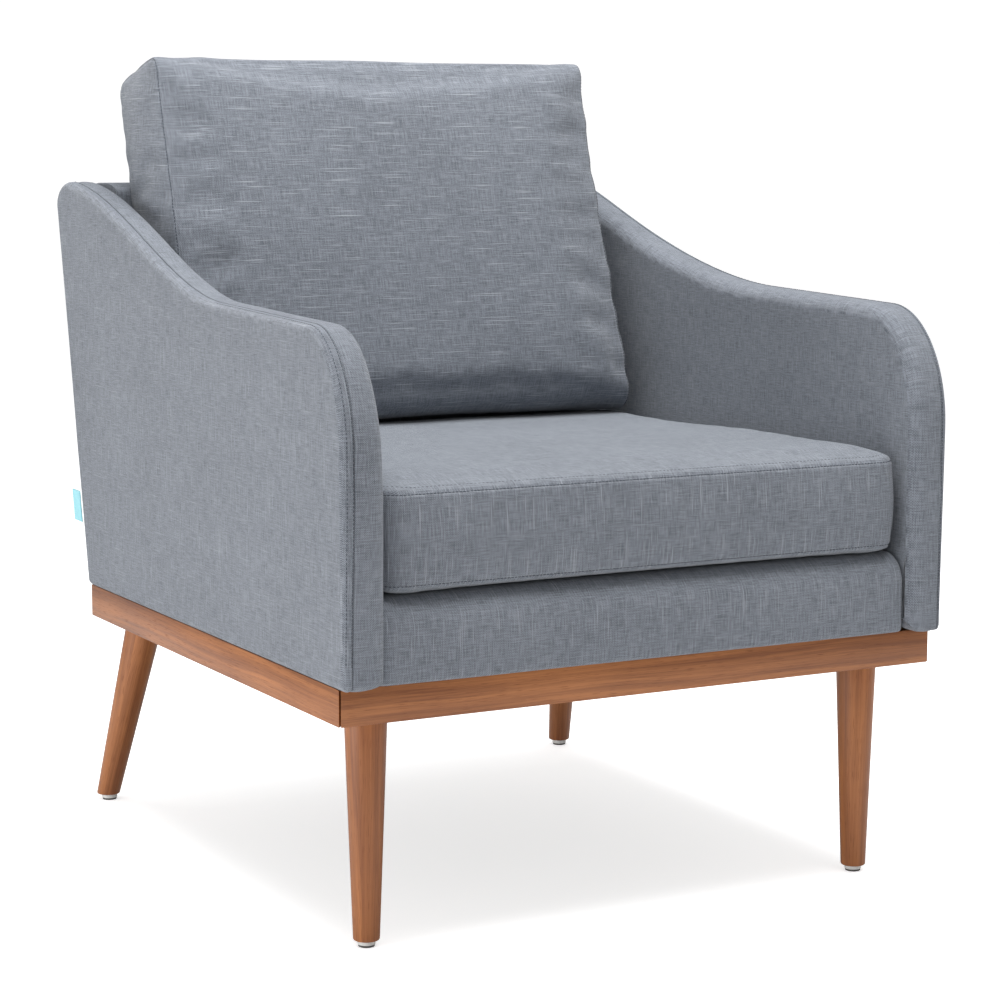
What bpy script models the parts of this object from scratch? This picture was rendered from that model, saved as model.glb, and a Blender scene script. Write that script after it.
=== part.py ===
"""Upholstered lounge armchair on a timber plinth with four turned legs.

Axes: +X to the sitter's left as seen from the front (viewer's right), -Y to the front, +Z up.
The finished chair stands on z = 0 with its bounding box centred on x = 0 and y = 0.
"""
import math

import bmesh
import bpy
from mathutils import Matrix, Vector

# ---------------------------------------------------------------- driving dimensions, metres
GAP = 0.0003                    # between pieces that touch
CUTTER_MARGIN = 0.05            # how far a cutter stands past what it cuts

BODY_WIDTH = 0.7106             # over the outer arm panels
PLINTH_SIDE_SETBACK = 0.0053    # arm panels overhang the plinth by this much
PLINTH_DEPTH = 0.699
PLINTH_UNDERSIDE = 0.238        # height of the plinth's lower face
PLINTH_HEIGHT = 0.0368
PLINTH_RAIL = 0.018             # rail stock thickness
PLINTH_EASING = 0.002           # rounded plinth edges

LEG_TOP_RADIUS = 0.0218
LEG_FOOT_RADIUS = 0.0132
LEG_FOOT_ROUNDING = 0.002
FRONT_LEG_INSET = (0.0545, 0.0567)      # plinth corner to leg axis at the plinth, x and y
REAR_LEG_INSET = (0.0610, 0.0215)
FRONT_LEG_SPLAY = (0.0008, 0.0005)      # foot offset outwards, x and y
REAR_LEG_SPLAY = (0.0280, 0.0725)
GLIDE_RADIUS = 0.0090
GLIDE_HEIGHT = 0.0065
GLIDE_RIM = 0.001                       # chamfer round the sole
GLIDE_PIN_RADIUS = 0.0015
GLIDE_PIN_LENGTH = 0.016
LEG_PLATE_SIZE = 0.040
LEG_PLATE_THICKNESS = 0.0025
HANGER_BOLT_RADIUS = 0.003
HANGER_BOLT_DOWN = 0.035                # length inside the leg
HANGER_BOLT_UP = 0.020                  # length inside the corner block
BOLT_CLEARANCE = 0.0005
CORNER_BLOCK_LEG = 0.075
CORNER_BLOCK_CUT = 0.035                # length of the block's two short edges
CORNER_BLOCK_HEIGHT = 0.0352
DUST_COVER_THICKNESS = 0.001

FRAME_STOCK = 0.022                     # seat rails and back posts
SEAT_RAIL_HEIGHT = 0.0702
ARM_FRAME_STOCK = 0.020
BACK_POST_WIDTH = 0.045
BACK_TOP_RAIL_HEIGHT = 0.045
BODY_BOLT_RADIUS = 0.003
BODY_BOLT_HEAD_RADIUS = 0.0055
BODY_BOLT_HEAD_HEIGHT = 0.0040
BODY_BOLT_RECESS = 0.006
BODY_BOLT_INTO_FRAME = 0.025
BODY_BOLT_OFFSET = 0.200                # bolt to the plinth's centre, along y

SPRING_WIRE_RADIUS = 0.00175
SPRING_COUNT = 4
SPRING_PITCH = 0.058                    # length of one full wave
SPRING_HALF_WIDTH = 0.024
SPRING_SPACING = 0.140

SKIRT_RISE = 0.0037                     # upholstery's lower edge above the plinth
ARM_THICKNESS = 0.0443
ARM_PAD = 0.014                         # padding over the frame's top and front edges
ARM_EDGE_RADIUS = 0.006
ARM_FRONT_OVERHANG = 0.0215             # arm front ahead of the plinth
ARM_FRONT_HEIGHT = 0.6215               # arm top just behind the front curve
ARM_FRONT_CURVE = (0.085, 0.120)        # half axes of the front curve, y and z
ARM_TOP_SLOPE = 0.033                   # rise per metre of the whole top line
ARM_SWEEP_LENGTH = 0.487                # the sweep up to the back, along y
ARM_SWEEP_BEYOND = 0.0825               # the sweep would level out this far behind the plinth
BODY_TOP = 0.7465
REAR_CORNER_CURVE = (0.048, 0.034)      # half axes of the rounded upper rear corner, y and z
OUTER_PANEL = 0.0035                    # covered outer side and back panels
OUTER_PANEL_EASING = 0.003

BACK_REAR_SETBACK = 0.0020              # back's lower rear edge ahead of the plinth's rear
BACK_OUTER_LEAN = math.radians(11.0)
BACK_INNER_LEAN = math.radians(15.0)
BACK_FRONT_RADIUS = 0.012
BACK_THICKNESS = 0.1115                 # inside back to outer back, at the back cushion's lower edge

FRONT_PAD = 0.0174                      # padding on the front seat rail
FRONT_RAIL_SETBACK = 0.013              # front upholstery behind the arm fronts
FRONT_RAIL_RADIUS = 0.030
DECK_PAD = 0.011

CUSHION_SIDE_GAP = 0.0055               # seat cushion to arm, each side
CUSHION_FRONT_OVERHANG = -0.003         # cushion front ahead of the front upholstery
CUSHION_REAR_GAP = 0.007                # room for the zip slider behind the seat cushion
SEAT_CUSHION_HEIGHT = 0.101
SEAT_CROWN = 0.013
SEAT_CUSHION_RADIUS = 0.012
BACK_CUSHION_SIDE_GAP = 0.0225
BACK_CUSHION_THICKNESS = 0.128
BACK_CUSHION_HEIGHT = 0.399             # along the rear face
BACK_CROWN = 0.020
BACK_CUSHION_RADIUS = 0.018
BACK_CUSHION_GAP = 0.0008               # to the back upholstery and over the seat crown
COVER_THICKNESS = 0.0016
ZIP_WIDTH = 0.012
ZIP_THICKNESS = 0.0012
ZIP_SLIDER = (0.012, 0.0030, 0.009)     # length, thickness, width
TAB_HEIGHT = 0.036
TAB_REACH = 0.026
TAB_THICKNESS = 0.0012
TAB_MIDDLE_HEIGHT = 0.366

# ---------------------------------------------------------------- sizes that follow
HALF_BODY = BODY_WIDTH / 2
HALF_PLINTH_X = HALF_BODY - PLINTH_SIDE_SETBACK
HALF_PLINTH_Y = PLINTH_DEPTH / 2
PLINTH_TOP = PLINTH_UNDERSIDE + PLINTH_HEIGHT
FRAME_BASE = PLINTH_TOP + GAP
SEAT_RAIL_TOP = FRAME_BASE + SEAT_RAIL_HEIGHT
SKIRT_Z = PLINTH_TOP + SKIRT_RISE
ARM_INNER_X = HALF_BODY - ARM_THICKNESS
ARM_PANEL_X = HALF_BODY - OUTER_PANEL - GAP
ARM_FRAME_INNER_X = ARM_PANEL_X - ARM_FRAME_STOCK
ARM_FRONT_Y = -HALF_PLINTH_Y - ARM_FRONT_OVERHANG
ARM_SWEEP_START = HALF_PLINTH_Y + ARM_SWEEP_BEYOND - ARM_SWEEP_LENGTH
SEAT_FRONT_Y = ARM_FRONT_Y + FRONT_RAIL_SETBACK
FRONT_RAIL_Y = SEAT_FRONT_Y + FRONT_PAD + GAP
FRONT_RAIL_REAR_Y = FRONT_RAIL_Y + FRAME_STOCK
SPRING_TOP = SEAT_RAIL_TOP + GAP + 2 * SPRING_WIRE_RADIUS
DECK_BASE = SPRING_TOP + GAP
DECK_TOP = DECK_BASE + DECK_PAD
BACK_REAR_Y = HALF_PLINTH_Y - BACK_REAR_SETBACK     # outer face at the plinth top
PANEL_REAR_Y = BACK_REAR_Y - OUTER_PANEL - GAP      # face behind which the panel lies
REAR_CORNER_BASE = BODY_TOP - REAR_CORNER_CURVE[1]
POST_FRONT_Y = PANEL_REAR_Y - FRAME_STOCK
REAR_RAIL_FRONT_Y = POST_FRONT_Y - GAP - FRAME_STOCK
SEAT_CUSHION_BASE = DECK_TOP + 2 * GAP
SEAT_CUSHION_TOP = SEAT_CUSHION_BASE + SEAT_CUSHION_HEIGHT
BACK_CUSHION_BASE = SEAT_CUSHION_TOP + SEAT_CROWN + BACK_CUSHION_GAP
BODY_BOLT_X = HALF_PLINTH_X - PLINTH_RAIL / 2
LEAN_SLOPE = math.tan(BACK_OUTER_LEAN)
INNER_SLOPE = math.tan(BACK_INNER_LEAN)

ARC_STEPS = 6                   # straight runs in each quarter round
SIDES = (("left", -1), ("right", 1))
ENDS = (("front", -1), ("rear", 1))


def rear_plane_y(z, base_y):
    """Y of a plane parallel to the leaning outer back that passes base_y at the plinth top."""
    return base_y + (z - PLINTH_TOP) * LEAN_SLOPE


def inner_back_y(z):
    """Y of the leaning front face of the inside back."""
    foot_y = rear_plane_y(BACK_CUSHION_BASE, BACK_REAR_Y) - BACK_THICKNESS
    return foot_y + (z - BACK_CUSHION_BASE) * INNER_SLOPE


# ---------------------------------------------------------------- scene and helpers
def start_scene():
    for leftover in list(bpy.data.objects):
        bpy.data.objects.remove(leftover, do_unlink=True)
    collections = []
    for name in ("Armchair", "Cutters"):
        collection = bpy.data.collections.new(name)
        bpy.context.scene.collection.children.link(collection)
        collections.append(collection)
    root = bpy.data.objects.new("armchair_origin", None)
    collections[0].objects.link(root)
    return collections[0], collections[1], root


PARTS, CUTTERS, ROOT = start_scene()


def make_material(name, colour, roughness, metallic=0.0):
    material = bpy.data.materials.new(name)
    material.use_nodes = True
    shader = material.node_tree.nodes["Principled BSDF"]
    shader.inputs["Base Color"].default_value = (*colour, 1.0)
    shader.inputs["Roughness"].default_value = roughness
    shader.inputs["Metallic"].default_value = metallic
    return material


FABRIC = ((0.155, 0.175, 0.205), 0.92)
STAINED_WOOD = ((0.300, 0.125, 0.045), 0.45)
FRAME_WOOD = ((0.560, 0.400, 0.240), 0.70)
STEEL = ((0.550, 0.560, 0.580), 0.35, 1.0)
FOAM = ((0.850, 0.800, 0.620), 0.95)
BLACK_CLOTH = ((0.030, 0.030, 0.032), 0.95)
ZIP_TAPE = ((0.120, 0.135, 0.160), 0.80)
GLIDE_PLASTIC = ((0.800, 0.810, 0.800), 0.40)
TAB_CLOTH = ((0.060, 0.520, 0.580), 0.80)


def add_part(name, mesh, look, parent=ROOT, matrix=None):
    """Links a mesh as a named sub-part with its own material."""
    part = bpy.data.objects.new(name, mesh)
    PARTS.objects.link(part)
    part.parent = parent
    if matrix is not None:
        part.matrix_local = matrix
    mesh.materials.clear()
    mesh.materials.append(make_material(name + "_material", *look))
    return part


def add_empty(name, location, rotation=(0.0, 0.0, 0.0), parent=ROOT):
    empty = bpy.data.objects.new(name, None)
    PARTS.objects.link(empty)
    empty.parent = parent
    empty.location = location
    empty.rotation_euler = rotation
    return empty


def add_bevel(part, width, segments=2, angle=math.radians(50)):
    bevel = part.modifiers.new("Bevel", 'BEVEL')
    bevel.width = width
    bevel.segments = segments
    bevel.limit_method = 'ANGLE'
    bevel.angle_limit = angle
    return bevel


def box_mesh(name, low, high):
    """A box between two corners, kept where the corners say."""
    size = Vector(high) - Vector(low)
    middle = (Vector(high) + Vector(low)) / 2
    shape = bmesh.new()
    bmesh.ops.create_cube(shape, size=1.0, matrix=Matrix.Translation(middle) @ Matrix.Diagonal((*size, 1.0)))
    mesh = bpy.data.meshes.new(name)
    shape.to_mesh(mesh)
    shape.free()
    return mesh


def add_box(name, low, high, look, parent=ROOT):
    return add_part(name, box_mesh(name, low, high), look, parent)


def as_cutter(name, mesh, matrix=None):
    cutter = bpy.data.objects.new(name, mesh)
    CUTTERS.objects.link(cutter)
    cutter.hide_render = True
    cutter.display_type = 'WIRE'
    cutter.parent = ROOT
    if matrix is not None:
        cutter.matrix_local = matrix
    return cutter


def cut(part, cutter):
    difference = part.modifiers.new("Cut " + cutter.name, 'BOOLEAN')
    difference.operation = 'DIFFERENCE'
    difference.solver = 'EXACT'
    difference.object = cutter
    return difference


def extruded_outline(name, points, thickness):
    """A flat closed outline in local XY, extruded evenly about local z = 0."""
    curve = bpy.data.curves.new(name + "_outline", 'CURVE')
    curve.dimensions = '2D'
    curve.fill_mode = 'BOTH'
    curve.extrude = thickness / 2
    spline = curve.splines.new('POLY')
    spline.points.add(len(points) - 1)
    for point, (x, y) in zip(spline.points, points):
        point.co = (x, y, 0.0, 1.0)
    spline.use_cyclic_u = True
    holder = bpy.data.objects.new(name + "_outline", curve)
    PARTS.objects.link(holder)
    graph = bpy.context.evaluated_depsgraph_get()
    mesh = bpy.data.meshes.new_from_object(holder.evaluated_get(graph))
    bpy.data.objects.remove(holder, do_unlink=True)
    shape = bmesh.new()
    shape.from_mesh(mesh)
    bmesh.ops.remove_doubles(shape, verts=shape.verts, dist=0.00001)
    bmesh.ops.dissolve_limit(shape, angle_limit=math.radians(0.5), verts=shape.verts, edges=shape.edges)
    bmesh.ops.recalc_face_normals(shape, faces=shape.faces)
    shape.to_mesh(mesh)
    shape.free()
    mesh.name = name
    return mesh


# Turns an outline drawn as (y, z) to stand across the chair: local z becomes world x.
STAND_ACROSS = Matrix(((0, 0, 1, 0), (1, 0, 0, 0), (0, 1, 0, 0), (0, 0, 0, 1)))


def across(x):
    return Matrix.Translation((x, 0.0, 0.0)) @ STAND_ACROSS


def turned_mesh(name, profile, steps=20):
    """Turns a profile of (radius, z), given top to bottom, about z with a Screw modifier."""
    mesh = bpy.data.meshes.new(name)
    shape = bmesh.new()
    rim = [shape.verts.new((radius, 0.0, z)) for radius, z in profile]
    for upper, lower in zip(rim, rim[1:]):
        shape.edges.new((upper, lower))
    shape.to_mesh(mesh)
    shape.free()
    holder = bpy.data.objects.new(name + "_profile", mesh)
    PARTS.objects.link(holder)
    screw = holder.modifiers.new("Screw", 'SCREW')
    screw.steps = steps
    screw.render_steps = steps
    screw.use_merge_vertices = True
    screw.merge_threshold = 0.00005
    graph = bpy.context.evaluated_depsgraph_get()
    turned = bpy.data.meshes.new_from_object(holder.evaluated_get(graph))
    bpy.data.objects.remove(holder, do_unlink=True)
    turned.name = name
    turned.shade_smooth()
    turned.set_sharp_from_angle(angle=math.radians(35))
    return turned


def rod_mesh(name, radius, low, high, steps=12):
    return turned_mesh(name, [(0.0, high), (radius, high), (radius, low), (0.0, low)], steps)


def bevel_edges(mesh, width, segments, wanted):
    """Rounds the sharp edges whose middle point passes the test."""
    shape = bmesh.new()
    shape.from_mesh(mesh)
    shape.edges.ensure_lookup_table()
    chosen = []
    for edge in shape.edges:
        middle = (edge.verts[0].co + edge.verts[1].co) / 2
        if edge.is_manifold and edge.calc_face_angle() > math.radians(40) and wanted(middle):
            chosen.append(edge)
    bmesh.ops.bevel(shape, geom=chosen, offset=width, segments=segments, profile=0.5, affect='EDGES')
    shape.to_mesh(mesh)
    shape.free()
    return mesh


# ---------------------------------------------------------------- plinth
def plinth_rail(name, length, direction, centre):
    """A rail with mitred ends, outer face along its long edge."""
    outer = length / 2
    inner = outer - PLINTH_RAIL
    points = [(-outer, 0.0), (outer, 0.0), (inner, PLINTH_RAIL), (-inner, PLINTH_RAIL)]
    mesh = extruded_outline(name, points, PLINTH_HEIGHT)
    bevel_edges(mesh, PLINTH_EASING, 2, lambda middle: middle.y < PLINTH_EASING / 4)
    turn = Matrix.Rotation(direction, 4, 'Z')
    return add_part(name, mesh, STAINED_WOOD, matrix=Matrix.Translation(centre) @ turn)


def build_plinth():
    middle = PLINTH_UNDERSIDE + PLINTH_HEIGHT / 2
    width = 2 * (HALF_PLINTH_X - GAP)
    depth = 2 * (HALF_PLINTH_Y - GAP)
    rails = {}
    rails["front"] = plinth_rail("plinth_front_rail", width, 0.0, (0.0, -HALF_PLINTH_Y, middle))
    rails["rear"] = plinth_rail("plinth_rear_rail", width, math.pi, (0.0, HALF_PLINTH_Y, middle))
    rails["left"] = plinth_rail("plinth_left_rail", depth, -math.pi / 2, (-HALF_PLINTH_X, 0.0, middle))
    rails["right"] = plinth_rail("plinth_right_rail", depth, math.pi / 2, (HALF_PLINTH_X, 0.0, middle))
    return rails


def build_corner_block(end, side, end_sign, side_sign):
    """A five-sided block glued into a plinth corner."""
    corner_x = side_sign * (HALF_PLINTH_X - PLINTH_RAIL - GAP)
    corner_y = end_sign * (HALF_PLINTH_Y - PLINTH_RAIL - GAP)
    reach = CORNER_BLOCK_LEG
    short = CORNER_BLOCK_CUT
    plan = [(0.0, 0.0), (-reach, 0.0), (-reach, -short), (-short, -reach), (0.0, -reach)]
    points = [(corner_x + side_sign * x, corner_y + end_sign * y) for x, y in plan]
    base = PLINTH_UNDERSIDE + GAP
    mesh = extruded_outline(f"corner_block_{end}_{side}", points, CORNER_BLOCK_HEIGHT)
    place = Matrix.Translation((0.0, 0.0, base + CORNER_BLOCK_HEIGHT / 2))
    return add_part(f"corner_block_{end}_{side}", mesh, FRAME_WOOD, matrix=place)


def build_dust_cover():
    reach_x = HALF_PLINTH_X - PLINTH_RAIL - GAP
    reach_y = HALF_PLINTH_Y - PLINTH_RAIL - GAP
    low = (-reach_x, -reach_y, PLINTH_TOP - DUST_COVER_THICKNESS)
    add_box("dust_cover", low, (reach_x, reach_y, PLINTH_TOP), BLACK_CLOTH)


# ---------------------------------------------------------------- legs
def leg_axis(end, side_sign, end_sign):
    """The leg's axis at the plinth and at the floor, and the matrix that stands local z along it."""
    inset = FRONT_LEG_INSET if end == "front" else REAR_LEG_INSET
    splay = FRONT_LEG_SPLAY if end == "front" else REAR_LEG_SPLAY
    top = Vector((side_sign * (HALF_PLINTH_X - inset[0]), end_sign * (HALF_PLINTH_Y - inset[1]), PLINTH_UNDERSIDE))
    foot = Vector((top.x + side_sign * splay[0], top.y + end_sign * splay[1], 0.0))
    along = (top - foot).normalized()
    matrix = Matrix.Translation(top) @ along.to_track_quat('Z', 'Y').to_matrix().to_4x4()
    return top, foot, matrix


def build_leg(end, side, end_sign, side_sign, block):
    name = f"{end}_{side}"
    top, foot, matrix = leg_axis(end, side_sign, end_sign)
    length = (top - foot).length
    plate_low = PLINTH_UNDERSIDE - LEG_PLATE_THICKNESS - GAP
    leg_top = plate_low - GAP
    spare = CUTTER_MARGIN / 2
    taper = (LEG_TOP_RADIUS - LEG_FOOT_RADIUS) / length
    profile = [
        (0.0, spare),
        (LEG_TOP_RADIUS + taper * spare, spare),
        (LEG_FOOT_RADIUS, -length),
        (LEG_FOOT_RADIUS - taper * spare, -length - spare),
        (0.0, -length - spare),
    ]
    leg = add_part(f"leg_{name}", turned_mesh(f"leg_{name}", profile, 24), STAINED_WOOD, matrix=matrix)
    reach = 2 * CUTTER_MARGIN
    lid = box_mesh("lid", (top.x - reach, top.y - reach, leg_top), (top.x + reach, top.y + reach, leg_top + reach))
    cut(leg, as_cutter(f"leg_top_cut_{name}", lid))
    sole_z = GLIDE_HEIGHT + GAP
    sole = box_mesh("sole", (foot.x - reach, foot.y - reach, sole_z - reach), (foot.x + reach, foot.y + reach, sole_z))
    cut(leg, as_cutter(f"leg_foot_cut_{name}", sole))

    # The glide stands upright under the leg's lower end, and its pin goes up into the leg.
    share = (sole_z + GLIDE_PIN_LENGTH / 2) / PLINTH_UNDERSIDE
    glide_x = foot.x + (top.x - foot.x) * share
    glide_y = foot.y + (top.y - foot.y) * share
    stand = Matrix.Translation((glide_x, glide_y, 0.0))
    pin_top = GLIDE_HEIGHT + GLIDE_PIN_LENGTH
    rim = GLIDE_RIM
    glide_profile = [
        (0.0, pin_top),
        (GLIDE_PIN_RADIUS, pin_top),
        (GLIDE_PIN_RADIUS, GLIDE_HEIGHT),
        (GLIDE_RADIUS, GLIDE_HEIGHT),
        (GLIDE_RADIUS, rim),
        (GLIDE_RADIUS - rim, 0.0),
        (0.0, 0.0),
    ]
    add_part(f"glide_{name}", turned_mesh(f"glide_{name}", glide_profile, 16), GLIDE_PLASTIC, matrix=stand)
    pin_hole = rod_mesh("pin_hole", GLIDE_PIN_RADIUS + GAP, 0.0, pin_top + GAP, 8)
    cut(leg, as_cutter(f"pin_hole_{name}", pin_hole, stand))

    # The hanger bolt runs along the leg's axis, through the plate and into the corner block.
    down = -HANGER_BOLT_DOWN
    up = HANGER_BOLT_UP
    bolt_mesh = rod_mesh(f"hanger_bolt_{name}", HANGER_BOLT_RADIUS, down, up)
    add_part(f"hanger_bolt_{name}", bolt_mesh, STEEL, matrix=matrix)
    half = LEG_PLATE_SIZE / 2
    low = (top.x - half, top.y - half, plate_low)
    high = (top.x + half, top.y + half, PLINTH_UNDERSIDE - GAP)
    plate = add_box(f"leg_plate_{name}", low, high, STEEL)
    hole = rod_mesh("bolt_hole", HANGER_BOLT_RADIUS + BOLT_CLEARANCE, down - GAP, up + GAP)
    bolt_hole = as_cutter(f"bolt_hole_{name}", hole, matrix)
    for drilled in (leg, plate, block):
        cut(drilled, bolt_hole)


def build_legs():
    for end, end_sign in ENDS:
        for side, side_sign in SIDES:
            block = build_corner_block(end, side, end_sign, side_sign)
            build_leg(end, side, end_sign, side_sign, block)


# ---------------------------------------------------------------- seat frame, springs and deck
def build_seat_frame():
    reach = ARM_FRAME_INNER_X - GAP
    low_z = FRAME_BASE
    high_z = SEAT_RAIL_TOP
    add_box("seat_frame_front_rail", (-reach, FRONT_RAIL_Y, low_z), (reach, FRONT_RAIL_REAR_Y, high_z), FRAME_WOOD)
    rear_low = (-reach, REAR_RAIL_FRONT_Y, low_z)
    rear_high = (reach, REAR_RAIL_FRONT_Y + FRAME_STOCK, high_z)
    add_box("seat_frame_rear_rail", rear_low, rear_high, FRAME_WOOD)
    front_y = FRONT_RAIL_REAR_Y + GAP
    rear_y = REAR_RAIL_FRONT_Y - GAP
    for side, sign in SIDES:
        edges = sorted((sign * (reach - FRAME_STOCK), sign * reach))
        low = (edges[0], front_y, low_z)
        add_box(f"seat_frame_{side}_rail", low, (edges[1], rear_y, high_z), FRAME_WOOD)


def build_springs():
    """Zigzag wires laid from the front rail's top to the rear rail's top."""
    start = FRONT_RAIL_Y + FRAME_STOCK / 2
    length = REAR_RAIL_FRONT_Y + FRAME_STOCK / 2 - start
    waves = round(length / SPRING_PITCH)
    per_wave = 6
    count = waves * per_wave
    height = SEAT_RAIL_TOP + GAP + SPRING_WIRE_RADIUS
    for number in range(SPRING_COUNT):
        centre_x = (number - (SPRING_COUNT - 1) / 2) * SPRING_SPACING
        curve = bpy.data.curves.new("spring_path", 'CURVE')
        curve.dimensions = '3D'
        curve.bevel_depth = SPRING_WIRE_RADIUS
        curve.bevel_resolution = 2
        curve.use_fill_caps = True
        spline = curve.splines.new('POLY')
        spline.points.add(count)
        for step, point in enumerate(spline.points):
            swing = SPRING_HALF_WIDTH * math.sin(math.tau * step / per_wave) / math.sin(math.pi / 3)
            point.co = (centre_x + swing, start + length * step / count, height, 1.0)
        name = f"seat_spring_{number + 1}"
        wire = bpy.data.objects.new(name + "_path", curve)
        PARTS.objects.link(wire)
        graph = bpy.context.evaluated_depsgraph_get()
        mesh = bpy.data.meshes.new_from_object(wire.evaluated_get(graph))
        bpy.data.objects.remove(wire, do_unlink=True)
        shape = bmesh.new()
        shape.from_mesh(mesh)
        bmesh.ops.remove_doubles(shape, verts=shape.verts, dist=0.00001)
        shape.to_mesh(mesh)
        shape.free()
        add_part(name, mesh, STEEL)


def build_front_upholstery():
    """Padded cover over the front seat rail, with a rounded upper edge."""
    rear = FRONT_RAIL_REAR_Y
    rail_face = FRONT_RAIL_Y - GAP
    radius = FRONT_RAIL_RADIUS
    points = [(SEAT_FRONT_Y, SKIRT_Z)]
    for step in range(ARC_STEPS + 1):
        angle = math.pi * (1 - step / (2 * ARC_STEPS))
        points.append((SEAT_FRONT_Y + radius + radius * math.cos(angle), DECK_TOP - radius + radius * math.sin(angle)))
    points += [(rear, DECK_TOP), (rear, DECK_BASE), (rail_face, DECK_BASE), (rail_face, SKIRT_Z)]
    mesh = extruded_outline("front_rail_upholstery", points, 2 * (ARM_INNER_X - GAP))
    add_part("front_rail_upholstery", mesh, FABRIC, matrix=across(0.0))


def build_deck():
    reach = ARM_INNER_X - 2 * GAP
    low = (-reach, FRONT_RAIL_REAR_Y + GAP, DECK_BASE)
    add_box("seat_deck_pad", low, (reach, inner_back_y(DECK_BASE) - GAP, DECK_TOP), FABRIC)


# ---------------------------------------------------------------- arms
def arm_top_z(y):
    """Height of the arm's top line: a slow rise, then a sweep up to the back."""
    line = ARM_FRONT_HEIGHT + ARM_TOP_SLOPE * (y - ARM_FRONT_Y - ARM_FRONT_CURVE[0])
    share = min(max((y - ARM_SWEEP_START) / ARM_SWEEP_LENGTH, 0.0), 1.0)
    eased = share * share * (3 - 2 * share)
    return line * (1 - eased) + BODY_TOP * eased


def ellipse_quarter(y, z, half_y, half_z):
    """Points from the top of an ellipse round to its rear."""
    quarter = []
    for step in range(ARC_STEPS + 1):
        angle = math.pi / 2 * (1 - step / ARC_STEPS)
        quarter.append((y + half_y * math.cos(angle), z + half_z * math.sin(angle)))
    return quarter


def arm_outline(inset, base_z, beyond=0.0):
    """The arm's side outline as (y, z), its top and front moved in by inset and its rear out by beyond."""
    half_y, half_z = ARM_FRONT_CURVE
    front = ARM_FRONT_Y + inset
    curve_end_y = ARM_FRONT_Y + half_y
    curve_base_z = arm_top_z(curve_end_y) - half_z
    points = [(front, base_z)]
    front_steps = 8
    for step in range(front_steps + 1):
        angle = math.pi * (1 - step / (2 * front_steps))
        y = curve_end_y + (half_y - inset) * math.cos(angle)
        z = curve_base_z + (half_z - inset) * math.sin(angle)
        points.append((y, z))
    rear_half_y, rear_half_z = REAR_CORNER_CURVE
    corner_z = arm_top_z(rear_plane_y(REAR_CORNER_BASE, PANEL_REAR_Y) - rear_half_y) - rear_half_z
    corner_y = rear_plane_y(corner_z, PANEL_REAR_Y) - rear_half_y
    sweep_steps = 12
    for step in range(1, sweep_steps):
        y = curve_end_y + (corner_y - curve_end_y) * step / sweep_steps
        points.append((y, arm_top_z(y) - inset))
    points += ellipse_quarter(corner_y, corner_z, rear_half_y - inset, rear_half_z - inset)
    if beyond > 0.0:
        points.append((rear_plane_y(corner_z, PANEL_REAR_Y) + beyond, corner_z))
    points.append((rear_plane_y(base_z, PANEL_REAR_Y) + beyond, base_z))
    return points


def build_body_bolts(arm_frame, plinth_rail_part, side, sign):
    """Two bolts that hold the body to the plinth, up through a side rail into the arm frame."""
    head_low = PLINTH_UNDERSIDE + BODY_BOLT_RECESS - BODY_BOLT_HEAD_HEIGHT
    head_high = PLINTH_UNDERSIDE + BODY_BOLT_RECESS
    tip = FRAME_BASE + BODY_BOLT_INTO_FRAME
    for end, end_sign in ENDS:
        matrix = Matrix.Translation((sign * BODY_BOLT_X, end_sign * BODY_BOLT_OFFSET, 0.0))
        profile = [
            (0.0, tip),
            (BODY_BOLT_RADIUS, tip),
            (BODY_BOLT_RADIUS, head_high),
            (BODY_BOLT_HEAD_RADIUS, head_high),
            (BODY_BOLT_HEAD_RADIUS, head_low),
            (0.0, head_low),
        ]
        name = f"body_bolt_{end}_{side}"
        add_part(name, turned_mesh(name, profile, 12), STEEL, matrix=matrix)
        wide = BODY_BOLT_HEAD_RADIUS + BOLT_CLEARANCE
        narrow = BODY_BOLT_RADIUS + BOLT_CLEARANCE
        hole_profile = [
            (0.0, tip + GAP),
            (narrow, tip + GAP),
            (narrow, head_high + GAP),
            (wide, head_high + GAP),
            (wide, PLINTH_UNDERSIDE - GAP),
            (0.0, PLINTH_UNDERSIDE - GAP),
        ]
        cutter = as_cutter(f"body_bolt_hole_{end}_{side}", turned_mesh("hole", hole_profile, 12), matrix)
        cut(arm_frame, cutter)
        cut(plinth_rail_part, cutter)


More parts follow.
